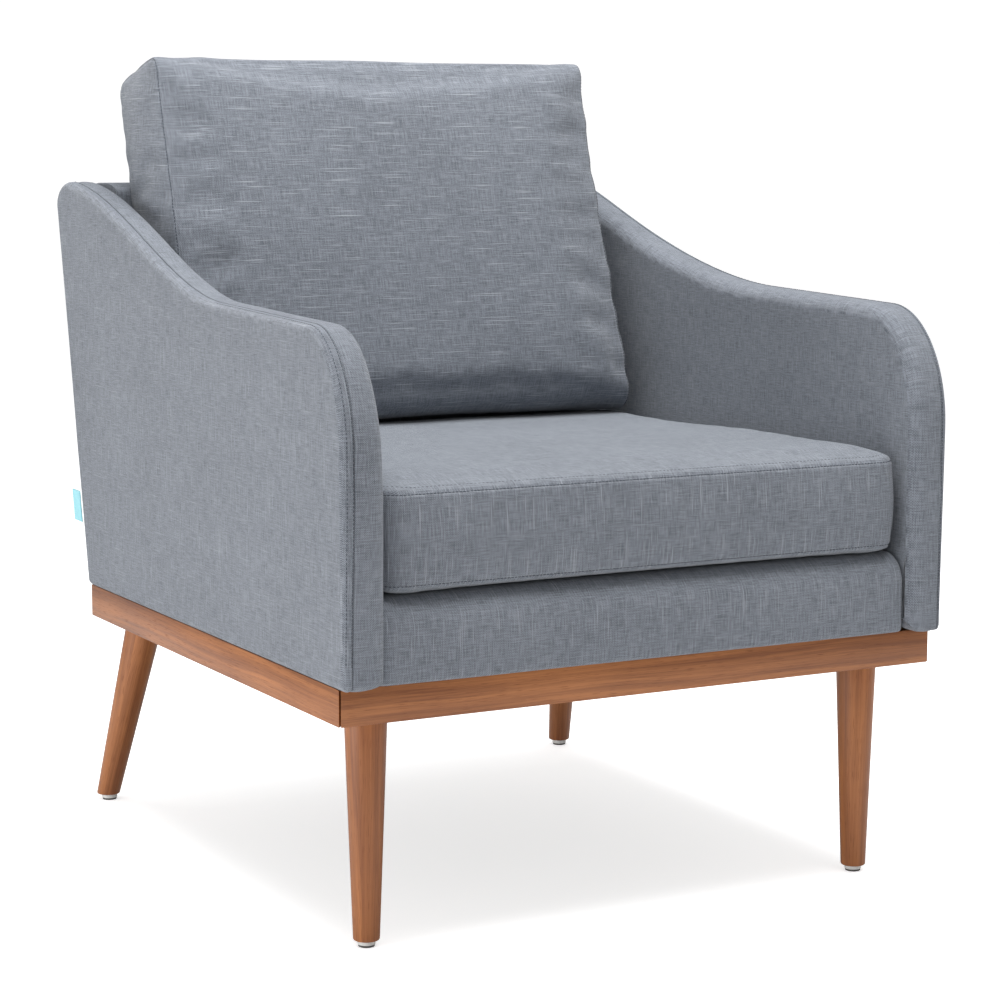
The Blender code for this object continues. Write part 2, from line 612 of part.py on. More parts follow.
def build_arm(side, sign, plinth_rail_part):
    inner_x = ARM_INNER_X
    panel_x = ARM_PANEL_X
    frame_x = ARM_FRAME_INNER_X

    frame_name = f"arm_{side}_frame"
    frame_mesh = extruded_outline(frame_name, arm_outline(ARM_PAD, FRAME_BASE), panel_x - frame_x)
    frame = add_part(frame_name, frame_mesh, FRAME_WOOD, matrix=across(sign * (panel_x + frame_x) / 2))
    build_body_bolts(frame, plinth_rail_part, side, sign)

    wrap_name = f"arm_{side}_inner_upholstery"
    wrap_outline = arm_outline(0.0, SKIRT_Z)
    wrap_mesh = extruded_outline(wrap_name, wrap_outline, panel_x - inner_x)
    inner_face = -sign * (panel_x - inner_x) / 2
    rear_limit = rear_plane_y(SKIRT_Z, PANEL_REAR_Y) - REAR_CORNER_CURVE[0]

    def rounded(middle):
        near_inner = abs(middle.z - inner_face) < GAP
        above_skirt = middle.y > SKIRT_Z + GAP
        return near_inner and above_skirt and (middle.x < rear_limit or middle.y > REAR_CORNER_BASE)

    bevel_edges(wrap_mesh, ARM_EDGE_RADIUS, 3, rounded)
    wrap = add_part(wrap_name, wrap_mesh, FABRIC, matrix=across(sign * (panel_x + inner_x) / 2))
    beyond = CUTTER_MARGIN
    pocket_points = arm_outline(ARM_PAD - GAP, FRAME_BASE - beyond, beyond)
    pocket_mesh = extruded_outline("pocket", pocket_points, panel_x - frame_x + beyond + GAP)
    pocket_x = sign * (frame_x - GAP + panel_x + beyond) / 2
    cut(wrap, as_cutter(f"arm_{side}_pocket", pocket_mesh, across(pocket_x)))
    edges = sorted((sign * (inner_x - beyond), sign * (panel_x + beyond)))
    low = (edges[0], FRONT_RAIL_Y - GAP, FRAME_BASE - beyond)
    high = (edges[1], BACK_REAR_Y + 2 * beyond, SEAT_RAIL_TOP + GAP)
    cut(wrap, as_cutter(f"arm_{side}_rail_room", box_mesh("rail_room", low, high)))

    panel_name = f"arm_{side}_outer_panel"
    panel_mesh = extruded_outline(panel_name, wrap_outline, OUTER_PANEL)
    outer_face = sign * OUTER_PANEL / 2

    def on_outer_face(middle):
        return abs(middle.z - outer_face) < GAP and middle.y > SKIRT_Z + GAP

    bevel_edges(panel_mesh, OUTER_PANEL_EASING, 2, on_outer_face)
    add_part(panel_name, panel_mesh, FABRIC, matrix=across(sign * (HALF_BODY - OUTER_PANEL / 2)))


# ---------------------------------------------------------------- back
def leaning_bar(name, x_low, x_high, z_low, z_high, rear_y, thickness, look):
    """A bar that fills x_low to x_high between two parallel leaning planes."""
    rear_low = rear_plane_y(z_low, rear_y)
    rear_high = rear_plane_y(z_high, rear_y)
    points = [(rear_low - thickness, z_low), (rear_low, z_low), (rear_high, z_high), (rear_high - thickness, z_high)]
    mesh = extruded_outline(name, points, x_high - x_low)
    return add_part(name, mesh, look, matrix=across((x_low + x_high) / 2))


def build_back_frame():
    outer_x = ARM_INNER_X - 2 * GAP
    inner_x = outer_x - BACK_POST_WIDTH
    rear = PANEL_REAR_Y - GAP
    top = REAR_CORNER_BASE - GAP
    for side, sign in SIDES:
        edges = sorted((sign * inner_x, sign * outer_x))
        name = f"back_post_{side}"
        leaning_bar(name, edges[0], edges[1], FRAME_BASE, top, rear, FRAME_STOCK - GAP, FRAME_WOOD)
    reach = inner_x - GAP
    low = top - BACK_TOP_RAIL_HEIGHT
    leaning_bar("back_top_rail", -reach, reach, low, top, rear, FRAME_STOCK - GAP, FRAME_WOOD)


def build_back_upholstery():
    """Padded inside back that laps over the top of the back frame."""
    rear_y = PANEL_REAR_Y
    base = DECK_BASE
    front_radius = BACK_FRONT_RADIUS
    arc_y = inner_back_y(BODY_TOP - front_radius) + front_radius
    points = [(inner_back_y(base), base)]
    arc_z = BODY_TOP - front_radius
    for step in range(ARC_STEPS + 1):
        angle = math.pi * (1 - step / (2 * ARC_STEPS))
        points.append((arc_y + front_radius * math.cos(angle), arc_z + front_radius * math.sin(angle)))
    half_y, half_z = REAR_CORNER_CURVE
    points += ellipse_quarter(rear_plane_y(REAR_CORNER_BASE, rear_y) - half_y, REAR_CORNER_BASE, half_y, half_z)
    frame_face = rear_y - FRAME_STOCK - GAP
    points.append((rear_plane_y(REAR_CORNER_BASE, frame_face), REAR_CORNER_BASE))
    points.append((rear_plane_y(base, frame_face), base))
    mesh = extruded_outline("back_inner_upholstery", points, 2 * (ARM_INNER_X - GAP))
    add_part("back_inner_upholstery", mesh, FABRIC, matrix=across(0.0))


def build_rear_panel():
    top = REAR_CORNER_BASE
    leaning_bar("back_outer_panel", -HALF_BODY, HALF_BODY, SKIRT_Z, top, BACK_REAR_Y, OUTER_PANEL, FABRIC)


def build_side_tab():
    """Small blank cloth tab that stands out of the left rear corner seam."""
    z_low = TAB_MIDDLE_HEIGHT - TAB_HEIGHT / 2
    z_high = TAB_MIDDLE_HEIGHT + TAB_HEIGHT / 2
    outer = BACK_REAR_Y + GAP + TAB_REACH
    x_low = -HALF_BODY
    leaning_bar("side_tab", x_low, x_low + TAB_THICKNESS, z_low, z_high, outer, TAB_REACH, TAB_CLOTH)


# ---------------------------------------------------------------- cushions
CUSHION_ROWS = 5                # grid rows each way; the middle row holds the zip
ZIP_ROW_SHARE = 1 / CUSHION_ROWS
ZIP_LENGTH_SHARE = 3 / CUSHION_ROWS


def cushion_surface(width, depth_at, height_at, inset):
    """A pillow block of grid faces: x across, y mapped by depth_at and z by height_at from -1 to 1."""
    shape = bmesh.new()
    bmesh.ops.create_cube(shape, size=2.0)
    bmesh.ops.subdivide_edges(shape, edges=shape.edges, cuts=CUSHION_ROWS - 1, use_grid_fill=True)
    shape.normal_update()
    half = width / 2 - inset
    places = {}
    for face in shape.faces:
        places[face] = (face.calc_center_median(), face.normal.copy())
    for vert in shape.verts:
        u, v, w = vert.co
        vert.co = Vector((u * half, depth_at(u, v, w, inset), height_at(u, v, w, inset)))
    return shape, places


def in_zip_slot(centre, normal, axis):
    """True for the middle row of faces on the rear face (axis 1) or the lower face (axis 2)."""
    if abs(centre.x) > ZIP_LENGTH_SHARE:
        return False
    if axis == 1:
        return normal.y > 0.9 and abs(centre.z) < ZIP_ROW_SHARE
    return normal.z < -0.9 and abs(centre.y) < ZIP_ROW_SHARE


def build_cushion(prefix, parent, width, depth_at, height_at, radius, slot_axis):
    """A foam core inside a fabric cover that is open at the zip."""
    shape, _ = cushion_surface(width, depth_at, height_at, COVER_THICKNESS + GAP)
    core_mesh = bpy.data.meshes.new(prefix + "_core")
    shape.to_mesh(core_mesh)
    shape.free()
    core = add_part(prefix + "_core", core_mesh, FOAM, parent)
    add_bevel(core, radius - COVER_THICKNESS, 2)

    shape, places = cushion_surface(width, depth_at, height_at, 0.0)
    slot_faces = [face for face, place in places.items() if in_zip_slot(*place, slot_axis)]
    bmesh.ops.delete(shape, geom=slot_faces, context='FACES')
    cover_mesh = bpy.data.meshes.new(prefix + "_cover")
    shape.to_mesh(cover_mesh)
    shape.free()
    cover = add_part(prefix + "_cover", cover_mesh, FABRIC, parent)
    add_bevel(cover, radius, 2)
    solidify = cover.modifiers.new("Solidify", 'SOLIDIFY')
    solidify.thickness = COVER_THICKNESS
    solidify.offset = -1.0


def crown_share(u, v):
    """Height of a crown that is nearly level in the middle and zero at the rim."""
    return (1 - abs(u) ** 3) * (1 - abs(v) ** 3)


def build_seat_cushion():
    front = SEAT_FRONT_Y - CUSHION_FRONT_OVERHANG
    rear = inner_back_y(SEAT_CUSHION_BASE) - CUSHION_REAR_GAP
    width = 2 * (ARM_INNER_X - CUSHION_SIDE_GAP)
    depth = rear - front
    height = SEAT_CUSHION_HEIGHT
    parent = add_empty("seat_cushion_slide", (0.0, (front + rear) / 2, SEAT_CUSHION_BASE))

    def depth_at(u, v, w, inset):
        return v * (depth / 2 - inset)

    def height_at(u, v, w, inset):
        level = zip_rows(w, height / 2 - inset)
        top = (height / 2 - inset + level) / (height - 2 * inset)
        return height / 2 + level + top * SEAT_CROWN * crown_share(u, v)

    build_cushion("seat_cushion", parent, width, depth_at, height_at, SEAT_CUSHION_RADIUS, 1)
    build_zip("seat_cushion", parent, width, (depth / 2, height / 2), 1)


def zip_rows(share, half):
    """Moves the two grid lines beside the middle to the edges of the zip slot."""
    if abs(share) < 1.5 * ZIP_ROW_SHARE:
        return math.copysign(ZIP_WIDTH / 2, share)
    return share * half


def build_zip(prefix, parent, width, place, axis):
    """The zip's closed tape in the cover's slot, and the slider that runs along it."""
    y, z = place
    length = width * ZIP_LENGTH_SHARE - 4 * GAP
    half = ZIP_WIDTH / 2 - 2 * GAP
    slider_x, slider_t, slider_w = ZIP_SLIDER
    stop = length / 2 - slider_x
    if axis == 1:
        low = (-length / 2, y - COVER_THICKNESS, z - half)
        high = (length / 2, y - COVER_THICKNESS + ZIP_THICKNESS, z + half)
        slider_low = (-stop - slider_x / 2, y + GAP, z - slider_w / 2)
        slider_high = (-stop + slider_x / 2, y + GAP + slider_t, z + slider_w / 2)
    else:
        low = (-length / 2, y - half, z + COVER_THICKNESS - ZIP_THICKNESS)
        high = (length / 2, y + half, z + COVER_THICKNESS)
        slider_low = (-stop - slider_x / 2, y - slider_w / 2, z - GAP - slider_t)
        slider_high = (-stop + slider_x / 2, y + slider_w / 2, z - GAP)
    add_box(f"{prefix}_zip", low, high, ZIP_TAPE, parent)
    slider = add_box(f"{prefix}_zip_slider", slider_low, slider_high, STEEL, parent)
    add_bevel(slider, 0.0008, 1)


def build_back_cushion():
    thickness = BACK_CUSHION_THICKNESS
    height = BACK_CUSHION_HEIGHT
    width = 2 * (ARM_INNER_X - BACK_CUSHION_SIDE_GAP)
    clearance = BACK_CUSHION_GAP / math.cos(BACK_INNER_LEAN)
    rear = inner_back_y(BACK_CUSHION_BASE) - clearance
    parent = add_empty("back_cushion_slide", (0.0, rear, BACK_CUSHION_BASE), (-BACK_INNER_LEAN, 0.0, 0.0))

    def depth_at(u, v, w, inset):
        # v runs from the front face at -1 to the rear face at 1; local y = 0 is the rear face.
        level = zip_rows(v, thickness / 2 - inset)
        front = (thickness / 2 - level) / thickness
        return -thickness / 2 + level - front * BACK_CROWN * crown_share(u, w)

    def height_at(u, v, w, inset):
        level = zip_rows(v, thickness / 2 - inset)
        base = -(thickness / 2 - level) * INNER_SLOPE + inset
        return base + (height - inset - base) * (w + 1) / 2

    build_cushion("back_cushion", parent, width, depth_at, height_at, BACK_CUSHION_RADIUS, 2)
    middle_y = rear - thickness / 2 / math.cos(BACK_INNER_LEAN)
    under = add_empty("back_cushion_zip_place", (0.0, middle_y, BACK_CUSHION_BASE))
    build_zip("back_cushion", under, width, (0.0, 0.0), 2)


# ---------------------------------------------------------------- assembly
def centre_on_origin():
    """Moves the chair so that its bounding box stands centred on the origin."""
    bpy.context.view_layer.update()
    graph = bpy.context.evaluated_depsgraph_get()
    low = Vector((math.inf, math.inf, math.inf))
    high = -low
    for part in PARTS.objects:
        if part.type != 'MESH':
            continue
        shaped = part.evaluated_get(graph)
        for vert in shaped.data.vertices:
            place = shaped.matrix_world @ vert.co
            low = Vector(map(min, low, place))
            high = Vector(map(max, high, place))
    ROOT.location = (-(low.x + high.x) / 2, -(low.y + high.y) / 2, -low.z)
    bpy.context.view_layer.update()


def build_armchair():
    rails = build_plinth()
    build_legs()
    build_dust_cover()
    build_seat_frame()
    build_springs()
    build_front_upholstery()
    build_deck()
    for side, sign in SIDES:
        build_arm(side, sign, rails[side])
    build_back_frame()
    build_back_upholstery()
    build_rear_panel()
    build_side_tab()
    build_seat_cushion()
    build_back_cushion()
    centre_on_origin()


build_armchair()
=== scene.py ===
"""Looks for an upholstered lounge armchair: padding, sewn cushions, stained plinth and turned legs.

Metres, +X to the viewer's right, -Y to the front, +Z up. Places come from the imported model's boxes.
"""

import math

import bpy
import numpy as np
from mathutils import Matrix, Vector
from mathutils.bvhtree import BVHTree


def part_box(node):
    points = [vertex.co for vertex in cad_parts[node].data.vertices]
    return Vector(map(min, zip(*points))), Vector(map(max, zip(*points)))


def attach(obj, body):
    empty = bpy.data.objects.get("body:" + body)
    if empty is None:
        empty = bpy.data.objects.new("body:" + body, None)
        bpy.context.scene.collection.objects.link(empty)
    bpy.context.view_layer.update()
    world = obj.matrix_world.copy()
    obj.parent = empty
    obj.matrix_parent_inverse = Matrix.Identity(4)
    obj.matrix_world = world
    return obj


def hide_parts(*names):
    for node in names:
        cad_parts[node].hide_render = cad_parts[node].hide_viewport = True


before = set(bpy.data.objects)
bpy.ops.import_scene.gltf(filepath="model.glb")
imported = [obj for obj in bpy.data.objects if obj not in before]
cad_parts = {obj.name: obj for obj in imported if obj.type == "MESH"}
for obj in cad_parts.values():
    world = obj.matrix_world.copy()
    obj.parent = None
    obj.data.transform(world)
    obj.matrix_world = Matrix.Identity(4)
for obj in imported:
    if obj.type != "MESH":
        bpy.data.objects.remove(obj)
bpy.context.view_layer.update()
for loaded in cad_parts.values():
    loaded.select_set(False)

MM = 0.001
CHAIR = "chair_frame"
SIDES = (("left", -1), ("right", 1))


# ---------------------------------------------------------------- material helpers
def add_node(tree, kind, settings=None, inputs=None):
    made = tree.nodes.new(kind)
    for key, value in (settings or {}).items():
        setattr(made, key, value)
    for key, value in (inputs or {}).items():
        socket = made.inputs[key]
        if isinstance(value, bpy.types.NodeSocket):
            tree.links.new(value, socket)
        else:
            socket.default_value = value
    return made


def calc(tree, operation, *values):
    made = add_node(tree, "ShaderNodeMath", {"operation": operation}, dict(enumerate(values)))
    return made.outputs[0]


def mix_colour(tree, factor, first, second, mode="MIX"):
    made = add_node(tree, "ShaderNodeMix", {"data_type": "RGBA", "blend_type": mode},
                    {0: factor, 6: first, 7: second})
    return made.outputs[2]


def stretched_noise(tree, vector, scale, detail=2.0, roughness=0.5, distortion=0.0):
    """Noise drawn out along the axes that have a small scale."""
    mapping = add_node(tree, "ShaderNodeMapping", None, {"Vector": vector, "Scale": scale})
    noise = add_node(tree, "ShaderNodeTexNoise", None, {
        "Vector": mapping.outputs[0], "Scale": 1.0, "Detail": detail, "Roughness": roughness,
        "Distortion": distortion})
    return noise.outputs[0]


def ramp(tree, value, low, high):
    """0 below low, 1 above high."""
    made = add_node(tree, "ShaderNodeMapRange", {"interpolation_type": "SMOOTHSTEP"}, {
        "Value": value, "From Min": low, "From Max": high})
    return made.outputs[0]


def new_group(name, inputs):
    """A shader group that gives a colour, a height and a roughness."""
    tree = bpy.data.node_groups.new(name, "ShaderNodeTree")
    for label, kind, default in inputs:
        socket = tree.interface.new_socket(label, in_out="INPUT", socket_type=kind)
        if default is not None:
            socket.default_value = default
    for label, kind in (("Color", "NodeSocketColor"), ("Height", "NodeSocketFloat"),
                        ("Roughness", "NodeSocketFloat")):
        tree.interface.new_socket(label, in_out="OUTPUT", socket_type=kind)
    start = tree.nodes.new("NodeGroupInput")
    end = tree.nodes.new("NodeGroupOutput")
    return tree, start, end


def close_group(tree, end, colour, height, rough):
    for label, value in (("Color", colour), ("Height", height), ("Roughness", rough)):
        tree.links.new(value, end.inputs[label])
    return tree


def linen_group():
    """Plain weave with pale slubs, on a cloth map in metres."""
    tree, start, end = new_group("linen_weave", [
        ("Cloth", "NodeSocketVector", None),
        ("Dark", "NodeSocketColor", (0.13, 0.15, 0.18, 1.0)),
        ("Light", "NodeSocketColor", (0.30, 0.33, 0.37, 1.0)),
        ("Slub", "NodeSocketColor", (0.50, 0.53, 0.56, 1.0)),
        ("Across Slubs", "NodeSocketFloat", 0.5),
        ("Upright Slubs", "NodeSocketFloat", 0.5),
    ])
    cloth = start.outputs["Cloth"]
    across = stretched_noise(tree, cloth, (58.0, 980.0, 1.0), 2.0, 0.6)
    upright = stretched_noise(tree, cloth, (980.0, 58.0, 1.0), 2.0, 0.6)
    mottle = stretched_noise(tree, cloth, (46.0, 46.0, 1.0), 3.0, 0.6)
    broad = stretched_noise(tree, cloth, (7.0, 7.0, 1.0), 2.0, 0.5)
    slub_across = ramp(tree, stretched_noise(tree, cloth, (17.0, 900.0, 3.0), 1.0, 0.4), 0.60, 0.78)
    slub_upright = ramp(tree, stretched_noise(tree, cloth, (900.0, 17.0, 7.0), 1.0, 0.4), 0.60, 0.78)

    split = add_node(tree, "ShaderNodeSeparateXYZ", None, {0: cloth})
    pitch = 3600.0
    warp = calc(tree, "SINE", calc(tree, "MULTIPLY", split.outputs[0], pitch))
    weft = calc(tree, "SINE", calc(tree, "MULTIPLY", split.outputs[1], pitch))
    weave = calc(tree, "MULTIPLY", warp, weft)

    tone = calc(tree, "ADD", calc(tree, "MULTIPLY", across, 0.75), calc(tree, "MULTIPLY", upright, 0.75))
    tone = calc(tree, "ADD", tone, calc(tree, "MULTIPLY", mottle, 0.15))
    tone = calc(tree, "ADD", tone, calc(tree, "MULTIPLY", broad, 0.15))
    tone = calc(tree, "ADD", tone, calc(tree, "MULTIPLY", weave, 0.30))
    tone = ramp(tree, tone, 0.68, 1.12)
    colour = mix_colour(tree, tone, start.outputs["Dark"], start.outputs["Light"])
    slubs = calc(tree, "MAXIMUM",
                 calc(tree, "MULTIPLY", slub_across, start.outputs["Across Slubs"]),
                 calc(tree, "MULTIPLY", slub_upright, start.outputs["Upright Slubs"]))
    colour = mix_colour(tree, slubs, colour, start.outputs["Slub"])
    height = calc(tree, "ADD", calc(tree, "MULTIPLY", weave, 0.35), calc(tree, "MULTIPLY", tone, 0.5))
    height = calc(tree, "ADD", height, calc(tree, "MULTIPLY", slubs, 0.6))
    rough = calc(tree, "ADD", 0.80, calc(tree, "MULTIPLY", tone, 0.14))
    return close_group(tree, end, colour, height, rough)


def grain_group():
    """Timber grain on a map whose first axis runs along the board, in metres."""
    tree, start, end = new_group("timber_grain", [
        ("Board", "NodeSocketVector", None),
        ("Dark", "NodeSocketColor", (0.16, 0.05, 0.02, 1.0)),
        ("Light", "NodeSocketColor", (0.42, 0.17, 0.07, 1.0)),
        ("Pores", "NodeSocketFloat", 0.5),
        ("Shine", "NodeSocketFloat", 0.42),
    ])
    board = start.outputs["Board"]
    bend = stretched_noise(tree, board, (3.0, 16.0, 16.0), 2.0, 0.5)
    bent = add_node(tree, "ShaderNodeVectorMath", {"operation": "ADD"}, {
        0: board, 1: add_node(tree, "ShaderNodeCombineXYZ", None, {
            1: calc(tree, "MULTIPLY", calc(tree, "SUBTRACT", bend, 0.5), 0.02)}).outputs[0]})
    bands = stretched_noise(tree, bent.outputs[0], (2.2, 150.0, 150.0), 4.0, 0.6)
    fine = stretched_noise(tree, board, (9.0, 900.0, 900.0), 3.0, 0.6)
    pores = ramp(tree, stretched_noise(tree, board, (55.0, 1500.0, 1500.0), 1.0, 0.4), 0.60, 0.72)
    patch = stretched_noise(tree, board, (5.0, 12.0, 12.0), 2.0, 0.5)
    tone = calc(tree, "ADD", calc(tree, "MULTIPLY", bands, 0.62), calc(tree, "MULTIPLY", fine, 0.30))
    tone = calc(tree, "ADD", tone, calc(tree, "MULTIPLY", patch, 0.34))
    tone = ramp(tree, tone, 0.40, 0.86)
    colour = mix_colour(tree, tone, start.outputs["Dark"], start.outputs["Light"])
    pits = calc(tree, "MULTIPLY", pores, start.outputs["Pores"])
    colour = mix_colour(tree, pits, colour, start.outputs["Dark"])
    height = calc(tree, "SUBTRACT", calc(tree, "MULTIPLY", fine, 0.4), pits)
    rough = calc(tree, "ADD", start.outputs["Shine"], calc(tree, "MULTIPLY", pits, 0.25))
    rough = calc(tree, "ADD", rough, calc(tree, "MULTIPLY", bands, 0.10))
    return close_group(tree, end, colour, height, rough)


def scuff_group():
    """Broad and fine blotches for plain surfaces, on object coordinates."""
    tree, start, end = new_group("light_wear", [
        ("Place", "NodeSocketVector", None),
        ("Base", "NodeSocketColor", (0.5, 0.5, 0.5, 1.0)),
        ("Worn", "NodeSocketColor", (0.4, 0.4, 0.4, 1.0)),
        ("Size", "NodeSocketFloat", 60.0),
        ("Roughness", "NodeSocketFloat", 0.5),
    ])
    noise = add_node(tree, "ShaderNodeTexNoise", None, {
        "Vector": start.outputs["Place"], "Scale": start.outputs["Size"], "Detail": 5.0, "Roughness": 0.65})
    fine = add_node(tree, "ShaderNodeTexNoise", None, {
        "Vector": start.outputs["Place"], "Scale": 900.0, "Detail": 2.0})
    mask = ramp(tree, noise.outputs[0], 0.35, 0.70)
    colour = mix_colour(tree, mask, start.outputs["Base"], start.outputs["Worn"])
    rough = calc(tree, "ADD", start.outputs["Roughness"], calc(tree, "MULTIPLY", mask, 0.15))
    height = calc(tree, "ADD", calc(tree, "MULTIPLY", fine.outputs[0], 0.5), mask)
    return close_group(tree, end, colour, height, rough)


LINEN = linen_group()
GRAIN = grain_group()
WEAR = scuff_group()


def finish_material(name, group, vector_socket, values, bump, distance, constants, mapped="UV"):
    """A Principled material fed by one of the shared effects."""
    material = bpy.data.materials.new(name)
    material.use_nodes = True
    tree = material.node_tree
    shader = tree.nodes["Principled BSDF"]
    for key, value in constants.items():
        shader.inputs[key].default_value = value
    place = add_node(tree, "ShaderNodeTexCoord")
    effect = add_node(tree, "ShaderNodeGroup", {"node_tree": group})
    tree.links.new(place.outputs[mapped], effect.inputs[vector_socket])
    for key, value in values.items():
        effect.inputs[key].default_value = value
    height = add_node(tree, "ShaderNodeBump", None, {
        "Strength": bump, "Distance": distance, "Height": effect.outputs["Height"]})
    tree.links.new(effect.outputs["Color"], shader.inputs["Base Color"])
    tree.links.new(effect.outputs["Roughness"], shader.inputs["Roughness"])
    tree.links.new(height.outputs[0], shader.inputs["Normal"])
    return material


def linen(name, across, upright, dark=(0.104, 0.115, 0.136), light=(0.270, 0.293, 0.332),
          slub=(0.46, 0.49, 0.53)):
    return finish_material(name, LINEN, "Cloth", {
        "Dark": (*dark, 1.0), "Light": (*light, 1.0), "Slub": (*slub, 1.0),
        "Across Slubs": across, "Upright Slubs": upright,
    }, 0.55, 0.0006, {"Sheen Weight": 0.22, "Sheen Roughness": 0.45, "Specular IOR Level": 0.18})


def timber(name, dark, light, pores=0.5, shine=0.40, coat=0.12, mapped="UV"):
    return finish_material(name, GRAIN, "Board", {
        "Dark": (*dark, 1.0), "Light": (*light, 1.0), "Pores": pores, "Shine": shine,
    }, 0.25, 0.0004, {"Coat Weight": coat, "Coat Roughness": 0.30, "Specular IOR Level": 0.45}, mapped)


def plain(name, base, worn, size, rough, metallic=0.0, bump=0.2, distance=0.0003, **constants):
    values = {"Metallic": metallic}
    values.update(constants)
    return finish_material(name, WEAR, "Place", {
        "Base": (*base, 1.0), "Worn": (*worn, 1.0), "Size": size, "Roughness": rough,
    }, bump, distance, values, mapped="Object")


ARM_CLOTH = linen("arm_linen", 0.30, 0.38)
STRIP_CLOTH = linen("arm_wrap_linen", 0.20, 0.20)
BOXING_CLOTH = linen("boxing_linen", 0.20, 0.52)
# Same linen as the rest with its light tone raised: painted light, making the seat panels lighter in place of the
# stronger light from above.
SEAT_CLOTH_PAINTED_LIGHTER = linen("seat_linen_painted_lighter", 0.16, 0.26, light=(0.285, 0.309, 0.345))
BACK_CLOTH = linen("back_linen", 0.72, 0.16)
# Near-black thread: real stitching on the topstitch rows, and painted shade where rows lie along seams as the dark
# line of the seam groove.
THREAD_AND_SEAM_SHADE = plain("sewing_thread_and_painted_seam_shade", (0.030, 0.036, 0.050), (0.050, 0.058, 0.075), 400.0, 0.75)
PLINTH_WOOD = timber("plinth_stain", (0.165, 0.046, 0.011), (0.450, 0.168, 0.050), 0.7)
LEG_WOOD = timber("leg_stain", (0.185, 0.052, 0.012), (0.440, 0.162, 0.047), 0.7)
RAW_WOOD = timber("frame_timber", (0.36, 0.23, 0.12), (0.62, 0.46, 0.29), 0.25, 0.62, 0.0, "Object")
GLIDE_WHITE = plain("glide_plastic", (0.80, 0.80, 0.78), (0.70, 0.70, 0.68), 300.0, 0.38)
GLIDE_BASE = plain("glide_sole", (0.09, 0.085, 0.08), (0.14, 0.13, 0.12), 300.0, 0.80)
STEEL = plain("zinc_steel", (0.55, 0.56, 0.58), (0.42, 0.43, 0.45), 120.0, 0.32, 1.0)
SPRING_STEEL = plain("spring_steel", (0.30, 0.30, 0.32), (0.18, 0.18, 0.19), 90.0, 0.38, 1.0)
DUST_CLOTH = plain("dust_cloth", (0.020, 0.020, 0.022), (0.036, 0.036, 0.038), 500.0, 0.92, bump=0.5)
DECK_CLOTH = linen("deck_cloth", 0.10, 0.10, (0.075, 0.085, 0.10), (0.15, 0.17, 0.19), (0.2, 0.22, 0.24))
FOAM = plain("cushion_filling", (0.80, 0.74, 0.55), (0.70, 0.63, 0.44), 350.0, 0.95, bump=0.8, distance=0.001)
ZIP_TAPE = plain("zip_tape", (0.10, 0.115, 0.14), (0.14, 0.155, 0.18), 700.0, 0.80, bump=0.5)
TAB_CLOTH = linen("tab_cloth", 0.1, 0.1, (0.30, 0.68, 0.76), (0.42, 0.79, 0.87), (0.7, 0.92, 0.95))


# ---------------------------------------------------------------- mesh helpers
def mesh_object(name, points, faces, cloth_map=None):
    """Links a smooth-shaded mesh. cloth_map holds one (u, v) for each face corner."""
    mesh = bpy.data.meshes.new(name)
    mesh.from_pydata([tuple(p) for p in points], [], [tuple(int(i) for i in f) for f in faces])
    if cloth_map is not None:
        layer = mesh.uv_layers.new(name="UVMap")
        layer.data.foreach_set("uv", np.asarray(cloth_map, np.float32).ravel())
    mesh.shade_smooth()
    piece = bpy.data.objects.new(name, mesh)
    bpy.context.scene.collection.objects.link(piece)
    return piece


def coords(piece):
    found = np.zeros(len(piece.data.vertices) * 3)
    piece.data.vertices.foreach_get("co", found)
    return found.reshape(-1, 3)


def set_coords(piece, points):
    piece.data.vertices.foreach_set("co", np.asarray(points, np.float32).ravel())
    piece.data.update()


def make_active(piece):
    """Selects this piece and nothing else."""
    for other in bpy.context.selected_objects:
        other.select_set(False)
    piece.select_set(True)
    bpy.context.view_layer.objects.active = piece


def subdivide_surface(piece):
    make_active(piece)
    modifier = piece.modifiers.new("Subdivision", "SUBSURF")
    modifier.levels = modifier.render_levels = 1
    bpy.ops.object.modifier_apply(modifier=modifier.name)
    piece.data.shade_smooth()


def thicken(piece, thickness):
    make_active(piece)
    modifier = piece.modifiers.new("Thickness", "SOLIDIFY")
    modifier.thickness = thickness
    modifier.offset = 0.0
    bpy.ops.object.modifier_apply(modifier=modifier.name)


def dress(piece, material, body, stands_for=()):
    """Gives a piece its material, its body and the CAD nodes that it stands for."""
    piece.data.materials.clear()
    piece.data.materials.append(material)
    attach(piece, body)
    if stands_for:
        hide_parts(*stands_for)
    return piece


def edge_lines(length, spacing, close=(2.0, 5.0, 10.0, 16.0)):
    """Grid lines from -1 to 1 over a length, with extra lines close to both ends."""
    near = [0.0] + [c * MM for c in close if c * MM < length / 3]
    inner = length - 2 * near[-1]
    count = max(1, round(inner / spacing))
    middle = [near[-1] + inner * k / count for k in range(1, count)]
    lines = near + middle + [length - n for n in reversed(near)]
    return np.array(lines) / length * 2 - 1


def grid_box(lines_x, lines_y, lines_z):
    """Closed box surface on a grid: its points from -1 to 1, its quads, and each quad's facing axis."""
    lines = (lines_x, lines_y, lines_z)
    counts = [len(line) - 1 for line in lines]
    index, points, faces, facing = {}, [], [], []

    def corner(key):
        if key not in index:
            index[key] = len(points)
            points.append([lines[axis][key[axis]] for axis in range(3)])
        return index[key]

    for axis in range(3):
        first, second = (axis + 1) % 3, (axis + 2) % 3
        for end in (0, counts[axis]):
            for i in range(counts[first]):
                for j in range(counts[second]):
                    quad = []
                    for di, dj in ((0, 0), (1, 0), (1, 1), (0, 1)):
                        key = [0, 0, 0]
                        key[axis], key[first], key[second] = end, i + di, j + dj
                        quad.append(corner(tuple(key)))
                    faces.append(quad if end else quad[::-1])
                    facing.append(axis)
    return np.array(points), np.array(faces), np.array(facing)


